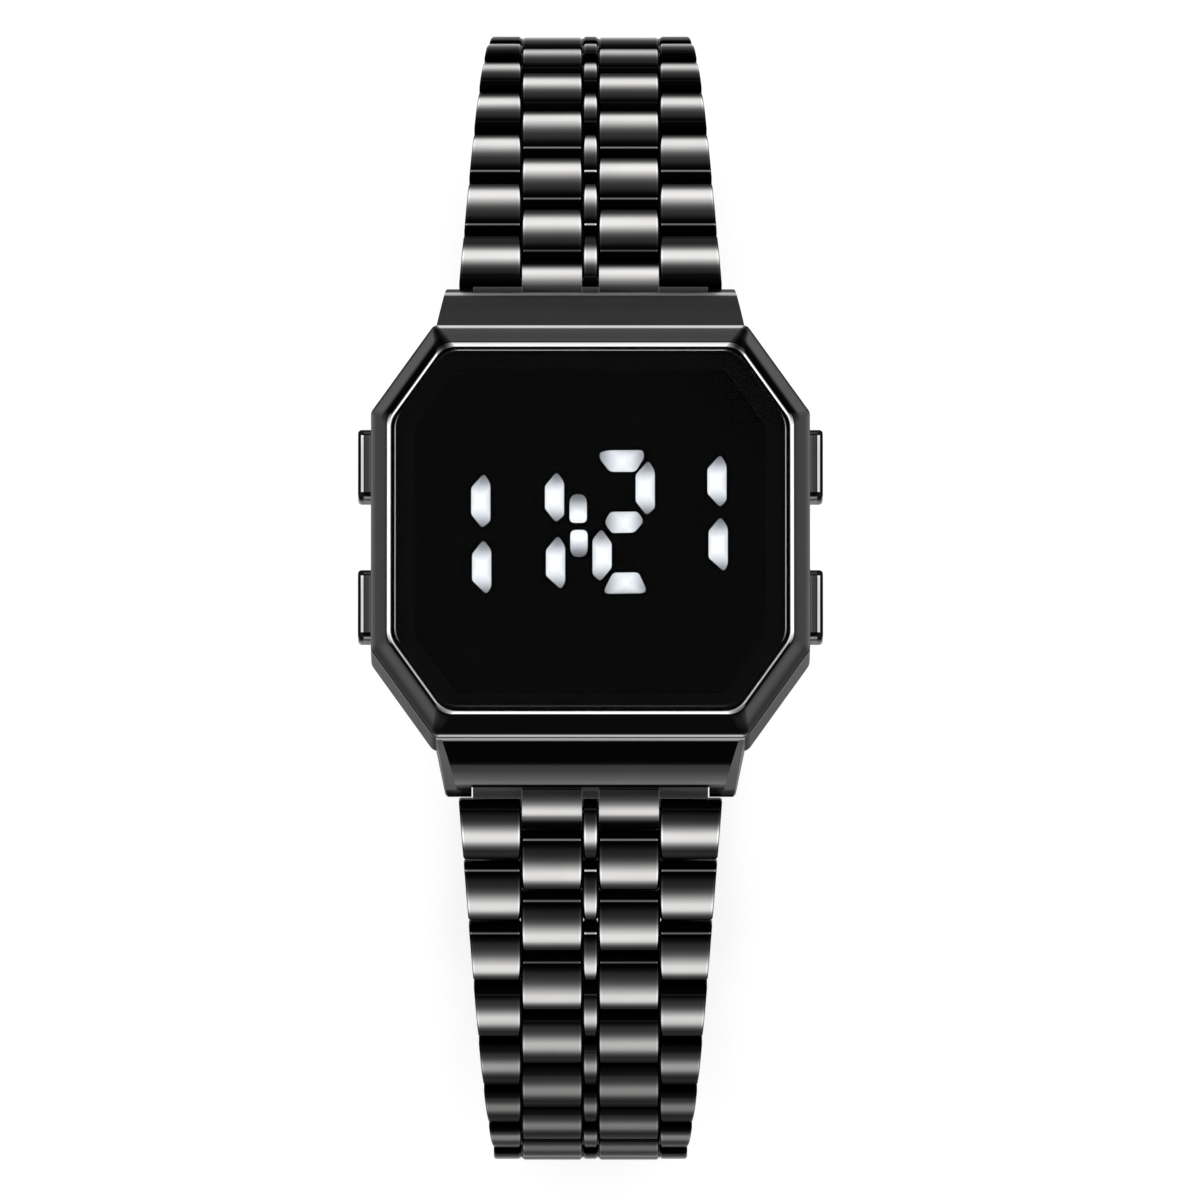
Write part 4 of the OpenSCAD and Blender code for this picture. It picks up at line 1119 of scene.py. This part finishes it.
@dataclass
class Head:
    """Case with its bezel, glass and back, all on the case's body, whose seat is the plane below the bezel."""

    workshop: Workshop
    seat: float = field(default_factory=lambda: float(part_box("bezel")[0][2]))
    print_inset: float = 2.8
    opening: float = 15.2 * MM
    case_finish: Steel = HoodSteel("case_steel", roughness=0.3, painted_light_along_y=HOODS)
    wall_finish: Steel = Steel("case_wall_steel", tone=0.06, roughness=0.28, rim=0.2)
    # Painted highlight: the case's softened edges are lighter than its faces
    painted_edge_highlight: Steel = Steel("case_edge_steel", tone=0.36, roughness=0.25)
    rim_finish: Steel = Steel("rim_steel", roughness=0.22, painted_light=True)

    def lay(self, name: str, section: Layers, slot: str, finish: Finish, stands_for: tuple[str, ...] = (),
            looped: bool = False, sharp: float = 35.0) -> None:
        """Carry a section round the case's octagon as one piece."""
        piece = self.workshop.mesh(name, [Octagon(self.seat).shell(section, looped)], sharp)
        self.workshop.dress(piece, "case", slot, finish, stands_for)

    def bezel(self) -> None:
        """Lay the rim in painted light by side: foot, softened crest, chamfer with a painted highlight, inner wall."""
        # Each layer: height, insets, then greys of painted highlight and shade on the five kinds of side
        self.lay("bezel_rim", [
            (0.0, 0.05, 0.05, 60, 60, 30, 60, 16), (0.03, 0.01, 0.01, 90, 80, 26, 60, 16),
            (0.09, 0.0, 0.0, 100, 84, 22, 40, 8), (0.2, 0.0, 0.0, 150, 96, 20, 24, 12),
            (0.25, 0.012, 0.012, 205, 100, 22, 30, 80), (0.31, 0.06, 0.08, 215, 100, 40, 44, 210),
            (0.37, 0.13, 0.15, 212, 94, 66, 54, 110), (0.42, 0.18, 0.21, 200, 84, 76, 52, 24),
            (0.46, 0.22, 0.26, 110, 76, 78, 46, 14), (0.5, 0.29, 0.35, 66, 70, 80, 46, 8),
            (0.62, 0.41, 0.5, 68, 66, 84, 50, 8), (0.74, 0.53, 0.65, 68, 66, 88, 62, 8),
            (0.92, 0.7, 0.87, 66, 65, 84, 72, 8), (1.06, 0.84, 1.04, 66, 64, 50, 74, 8),
            (1.15, 0.92, 1.14, 66, 62, 8, 74, 8), (1.32, 1.09, 1.36, 68, 58, 4, 62, 10),
            (1.4, 1.16, 1.46, 62, 50, 3, 36, 10), (1.44, 1.19, 1.51, 8, 12, 3, 8, 4),
            (1.475, 1.22, 1.55, 8, 16, 3, 8, 8), (1.48, 1.24, 1.57, 190, 180, 4, 8, 160),
            (1.475, 1.26, 1.6, 255, 255, 6, 8, 255), (1.43, 1.35, 1.69, 255, 255, 30, 14, 255),
            (1.4, 1.42, 1.76, 255, 255, 255, 190, 255), (1.37, 1.48, 1.82, 255, 255, 255, 245, 255),
            (1.35, 1.51, 1.85, 190, 190, 255, 240, 120), (1.34, 1.535, 1.875, 14, 40, 90, 90, 12),
            (1.27, 1.55, 1.89, 3, 4, 4, 3, 3), (1.2, 1.57, 1.92, 3, 3, 3, 3, 3), (0.0, 1.57, 1.92, 3, 3, 3, 3, 3),
        ], "polished_rim", self.rim_finish, ("bezel",), looped=True)

    def glass(self) -> None:
        """Lay the glass, an upright edge, a bevel, a painted highlight line along it and a flat face, and its print."""
        clear = (0,) * 5
        # Greys of the painted highlight line on the five kinds of side
        line = (215, 215, 14, 24, 70)
        self.lay("glass_pane", [
            (0.15, 1.63, 1.97, *clear), (1.33, 1.62, 1.96, *clear), (1.37, 1.64, 1.98, *clear),
            (1.555, 1.815, 2.135, *clear), (1.57, 1.835, 2.155, *line), (1.6, 1.885, 2.205, *line),
            (1.62, 1.91, 2.23, *clear), (1.65, 2.0, 2.32, *clear), (1.65, 2.12, 2.44, *clear),
        ], "glass", DarkGlass(), ("crystal",), sharp=20.0)
        layers = [(height, self.print_inset, self.print_inset, *clear) for height in (0.002, 0.012)]
        self.lay("glass_print", layers, "gunmetal", MASK_PRINT)

    def build(self) -> None:
        """Build the head's pieces."""
        self.workshop.refined("case_body", "case", "gunmetal", self.case_finish, SOFT_EDGE, "middle_case",
                              self.painted_edge_highlight, self.wall_finish, self.opening)
        self.bezel()
        self.glass()
        self.workshop.refined("case_back", "case", "brushed_back", Turned("turned_back"), SOFT_THIN, "back_cover")


@dataclass
class Fittings:
    """End links, pushers and clasp: pieces that move on bodies of their own."""

    workshop: Workshop
    end_finish: Steel = Steel("end_link_steel", roughness=0.24, painted_light_along_y=END_LINKS)
    # Painted highlight: the softened edges of the end links and the cover are lighter than their faces
    painted_link_edge_highlight: Steel = Steel("link_edge_steel", tone=0.2, roughness=0.25)
    cover_finish: Steel = Steel("cover_steel", tone=0.07, roughness=0.2)
    blade_finish: Steel = Steel("blade_steel", tone=0.11, roughness=0.28, grain=0.08, grain_axis=Axis.Y, relief=0.2)
    cap_finish: Steel = CapSteel("cap_steel", roughness=0.2)
    wire_finish: Steel = Steel("spring_wire", tone=0.5, roughness=0.2)
    spring_seat: float = 14.2 * MM
    spring_pressed: float = 0.63

    @staticmethod
    def keep_quarter(work: bmesh.types.BMesh, right: int, up: int) -> None:
        """Delete the vertices that lie in other quarters than the one with these signs of X and Y."""
        others = [v for v in work.verts if v.co.x * right < 0 or v.co.y * up < 0]
        bmesh.ops.delete(work, geom=others, context="VERTS")

    def springs(self) -> None:
        """Split the return springs into four pieces, one to each quarter of the case."""
        for hour, right, up in (("2", 1, 1), ("4", 1, -1), ("8", -1, -1), ("10", -1, 1)):
            piece = self.workshop.copied("pusher_springs", "pusher_%s_spring" % hour,
                                         partial(self.keep_quarter, right=right, up=up))
            self.workshop.dress(piece, "case", "spring", self.wire_finish, ("pusher_springs",))
            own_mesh(piece)

    def build(self) -> None:
        """Refine the fittings' meshes in place."""
        self.springs()
        refined = self.workshop.refined
        for node in ("end_link_12", "end_link_6"):
            refined(node, node, "link", self.end_finish, SOFT_EDGE, edges=self.painted_link_edge_highlight)
        for node in ("pusher_2", "pusher_4", "pusher_8", "pusher_10"):
            refined(node, node, "gunmetal", self.cap_finish, 0.0)
        for body in ("inner_blade", "middle_blade"):
            refined("clasp_" + body, body, "blade", self.blade_finish, SOFT_THIN)
        refined("clasp_cover", "cover", "link", self.cover_finish, SOFT_EDGE, edges=self.painted_link_edge_highlight)


# Light in a window from its bright end at -1 to its dark end at 1
ONE_END = ((-1, 0.85), (-0.3, 1), (0.1, 0.62), (0.6, 0.22), (1, 0.1))


class Glow(Enum):
    """Way in which a window's light falls off: axis, sign on it, and light by place from -1 to 1."""

    UPRIGHT = (1, 1, ((-1, 0.16), (-0.8, 0.36), (-0.5, 0.75), (-0.2, 1), (0.2, 1), (0.45, 0.68), (0.7, 0.3), (1, 0.12)))
    LEVEL = (0, 1, ((-1, 0.25), (-0.75, 0.42), (-0.4, 0.72), (0, 1), (0.4, 0.8), (0.75, 0.46), (1, 0.25)))
    UP = (1, 1, ONE_END)
    DOWN = (1, -1, ONE_END)

    def tone(self, place: np.ndarray) -> np.ndarray:
        """Return the light, from 0 to 1, at places in a window that run from -1 to 1 along X and Y."""
        axis, sign, stops = self.value
        return np.interp(sign * place[:, axis], *zip(*stops))


@dataclass
class Window:
    """Lit window: its corners in millimetres, how round they are and how its light falls off.

    A corner's roundness takes up at most the share most of a side.
    """

    corners: tuple[tuple[float, float], ...]
    round: tuple[float, ...]
    glow: Glow
    rings: int = 14
    steps: int = 5
    most: float = 0.48

    @staticmethod
    def tall(left: float, low: float, high: float, top: float, bottom: float, mirrored: bool = False) -> Window:
        """Return a tall bar with long cuts on its left.

        Args:
            left: Left side.
            low: Lowest point.
            high: Highest point.
            top: Place of the upper tip, from the left side.
            bottom: Place of the lower tip, from the left side.
            mirrored: Whether the long cuts are on its right.

        Returns:
            The window.
        """
        wide = 1.46
        points = [(0.0, low + 1.08), (bottom, low), (wide - 0.02, low + 0.55), (wide, low + 0.75), (wide, high - 0.8),
                  (top, high), (0.0, high - 1.1)]
        rounds = (0.15, 0.28, 0.2, 0.15, 0.3, 0.3, 0.2)
        if mirrored:
            points, rounds = [(wide - x, y) for x, y in points[::-1]], rounds[::-1]
        return Window(tuple((left + x, y) for x, y in points), rounds, Glow.UPRIGHT)

    def outline(self) -> np.ndarray:
        """Draw the outline: each corner is the parabola (1 - t)^2 start + 2 t (1 - t) corner + t^2 stop.

        Returns:
            Points in millimetres, anticlockwise.
        """
        corners = np.array(self.corners)
        reach = np.array(self.round)[:, None]
        sides = (np.roll(corners, shift, axis=0) - corners for shift in (1, -1))
        start, stop = (corners + side * np.minimum(self.most, reach / np.linalg.norm(side, axis=1, keepdims=True))
                       for side in sides)
        t = np.linspace(0, 1, self.steps + 1)[None, :, None]
        return ((1 - t) ** 2 * start[:, None] + 2 * t * (1 - t) * corners[:, None] + t ** 2 * stop[:, None]
                ).reshape(-1, 2)

    def shell(self, low: float, high: float) -> Shell:
        """Raise the outline to a low prism whose top is closed by rings that shrink to its middle.

        Args:
            low: Height of its underside in metres.
            high: Height of its top.

        Returns:
            The shell.
        """
        flat = self.outline()
        middle = (flat.min(axis=0) + flat.max(axis=0)) / 2
        half = (flat.max(axis=0) - flat.min(axis=0)) / 2
        rings, tones = [], []
        layers = [(self.rings, low)] + [(count, high) for count in range(self.rings, 0, -1)]
        for count, height in layers:
            ring = middle + (flat - middle) * (count / self.rings)
            rings.append(np.column_stack([ring * MM, np.full(len(ring), height)]))
            tones.append(self.glow.tone((ring - middle) / half))
        return Shell.from_rings(np.array(rings), np.array(tones))


@dataclass
class Display:
    """Lit time: 11:21 in white windows."""

    workshop: Workshop
    proud: float = 0.03 * MM

    @staticmethod
    def windows() -> list[Window]:
        """Lay out the four ones' bars, the colon and the five bars of the two.

        Returns:
            The lit windows.
        """
        tall = Window.tall
        return [
            tall(-9.12, 0.24, 4.5, 0.98, 0.84), tall(-9.05, -4.9, -0.66, 0.86, 1.1),
            tall(-3.48, 0.68, 4.62, 0.9, 0.84), tall(-3.4, -4.52, -0.34, 0.92, 1.16),
            Window(((-1.6, 0.65), (-0.28, 0.65), (-0.28, 2.88), (-1.6, 2.88)), (0.42, 0.42, 0.75, 0.75), Glow.UP),
            Window(((-1.54, -2.0), (-0.22, -2.0), (-0.22, 0.1), (-1.54, 0.1)), (0.75, 0.75, 0.45, 0.45), Glow.DOWN),
            Window(((1.5, 4.62), (3.45, 4.62), (4.1, 5.7), (4.05, 6.3), (1.3, 6.28), (0.7, 6.1), (0.72, 5.6)),
                   (0.3, 0.3, 0.2, 0.3, 0.3, 0.2, 0.3), Glow.LEVEL),
            tall(3.46, 1.24, 5.5, 0.98, 0.84),
            Window(((1.62, -0.14), (3.35, -0.1), (4.1, 0.78), (3.6, 1.52), (1.52, 1.5), (1.06, 0.68)),
                   (0.25, 0.25, 0.35, 0.25, 0.25, 0.35), Glow.LEVEL),
            tall(0.16, -3.9, 0.18, 0.78, 0.86, True),
            Window(((0.9, -4.86), (4.4, -4.8), (3.68, -3.2), (1.72, -3.22)), (0.6, 0.6, 0.3, 0.3), Glow.LEVEL),
            tall(8.95, 1.86, 5.96, 1.0, 0.98), tall(9.04, -3.14, 1.12, 0.92, 1.2),
        ]

    def build(self) -> None:
        """Stand the lit windows on the mask."""
        top = float(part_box("display_mask")[1][2])
        low = float(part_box("lit_segments")[0][2])
        piece = self.workshop.mesh("lit_windows", [window.shell(low, top + self.proud) for window in self.windows()])
        self.workshop.dress(piece, "case", "lit", LitWindow(), ("lit_segments",))


@dataclass
class Studio:
    """Camera, soft light and pale floor round a target point.

    The sky seen in polished faces is given as light by height, from nadir at 0 to zenith at 1.
    """

    target: np.ndarray
    elevation: float = 80.0
    distance: float = 3.0
    frame_width: float = 91.8 * MM
    sensor: float = 36.0
    clip_end: float = 20.0
    sideways: float = 0.73 * MM
    below: float = 5.235 * MM
    sky: Stops = ((0.5, 0.9), (0.56, 1.25), (0.84, 1.25), (0.94, 0.7))
    floor_reach: float = 1.5
    floor_tone: float = 0.55
    floor_light: float = 0.62

    def camera(self) -> None:
        """Place a long lens that looks from 6 o'clock, tilted from the vertical."""
        tilt = math.radians(self.elevation)
        up = np.array([0.0, math.sin(tilt), math.cos(tilt)])
        away = np.array([0.0, -math.cos(tilt), math.sin(tilt)])
        aim = self.target - up * self.below + np.array([self.sideways, 0.0, 0.0])
        data = bpy.data.cameras.new("camera")
        data.sensor_width = self.sensor
        data.lens = self.sensor * self.distance / self.frame_width
        data.clip_end = self.clip_end
        camera = new_object("camera", data)
        camera.location = (aim + away * self.distance).tolist()
        camera.rotation_euler = (math.radians(90 - self.elevation), 0.0, 0.0)
        bpy.context.scene.camera = camera

    def world(self) -> None:
        """Light the scene: white to the lens, even to matt surfaces, and a softbox ring to polished ones."""
        world = bpy.data.worlds.new("studio")
        bpy.context.scene.world = world
        g = Nodes(world, "OutputWorld")
        height = g.add("SeparateXYZ", {0: g.add("TexCoord").outputs["Generated"]}).outputs["Z"]
        stops = [(at, grey(light)) for at, light in self.sky]
        sky = g.ramp(g.remap(height, 0.0, 1.0, -1.0), stops, "EASE")
        polished = g.add("Background", {"Color": sky})
        plain = g.add("Background", {"Color": opaque(grey(1.0))})
        glossy = g.add("LightPath").outputs["Is Glossy Ray"]
        g.show(g.add("MixShader", {0: glossy, 1: plain.outputs[0], 2: polished.outputs[0]}))

    def floor(self) -> None:
        """Lay a large pale floor that keeps the watch's shadow and reads white to the lens."""
        r = self.floor_reach
        data = bpy.data.meshes.new("studio_floor")
        data.from_pydata([(-r, -r, 0), (r, -r, 0), (r, r, 0), (-r, r, 0)], [], [(0, 1, 2, 3)])
        g = Nodes(bpy.data.materials.new("floor_paper"))
        path = g.add("LightPath").outputs
        seen = g.maths("MAXIMUM", path["Is Camera Ray"], path["Is Transmission Ray"])
        shown = g.maths("MAXIMUM", seen, path["Is Glossy Ray"])
        paper = g.add("BsdfDiffuse", {"Color": opaque(grey(self.floor_tone))})
        light = g.maths("MULTIPLY", shown, self.floor_light)
        light = g.add("Emission", {"Color": opaque(grey(1.0)), "Strength": light})
        data.materials.append(g.show(g.add("AddShader", {0: paper.outputs[0], 1: light.outputs[0]})))
        new_object("studio_floor", data)

    def build(self) -> None:
        """Set up camera, light and floor."""
        self.camera()
        self.world()
        self.floor()


def main() -> None:
    """Build the watch and the studio."""
    logging.basicConfig(level=logging.INFO, format="%(message)s")
    bpy.context.scene.view_settings.view_transform = "Standard"
    workshop = Workshop()
    head = Head(workshop)
    head.build()
    Bracelet(workshop).build()
    Fittings(workshop).build()
    for node, finish in REPAINTED.items():
        workshop.repaint(node, finish)
    Display(workshop).build()
    Studio(np.array([0.0, 0.0, head.seat])).build()
    bpy.context.view_layer.update()


if __name__ == "__main__":
    main()
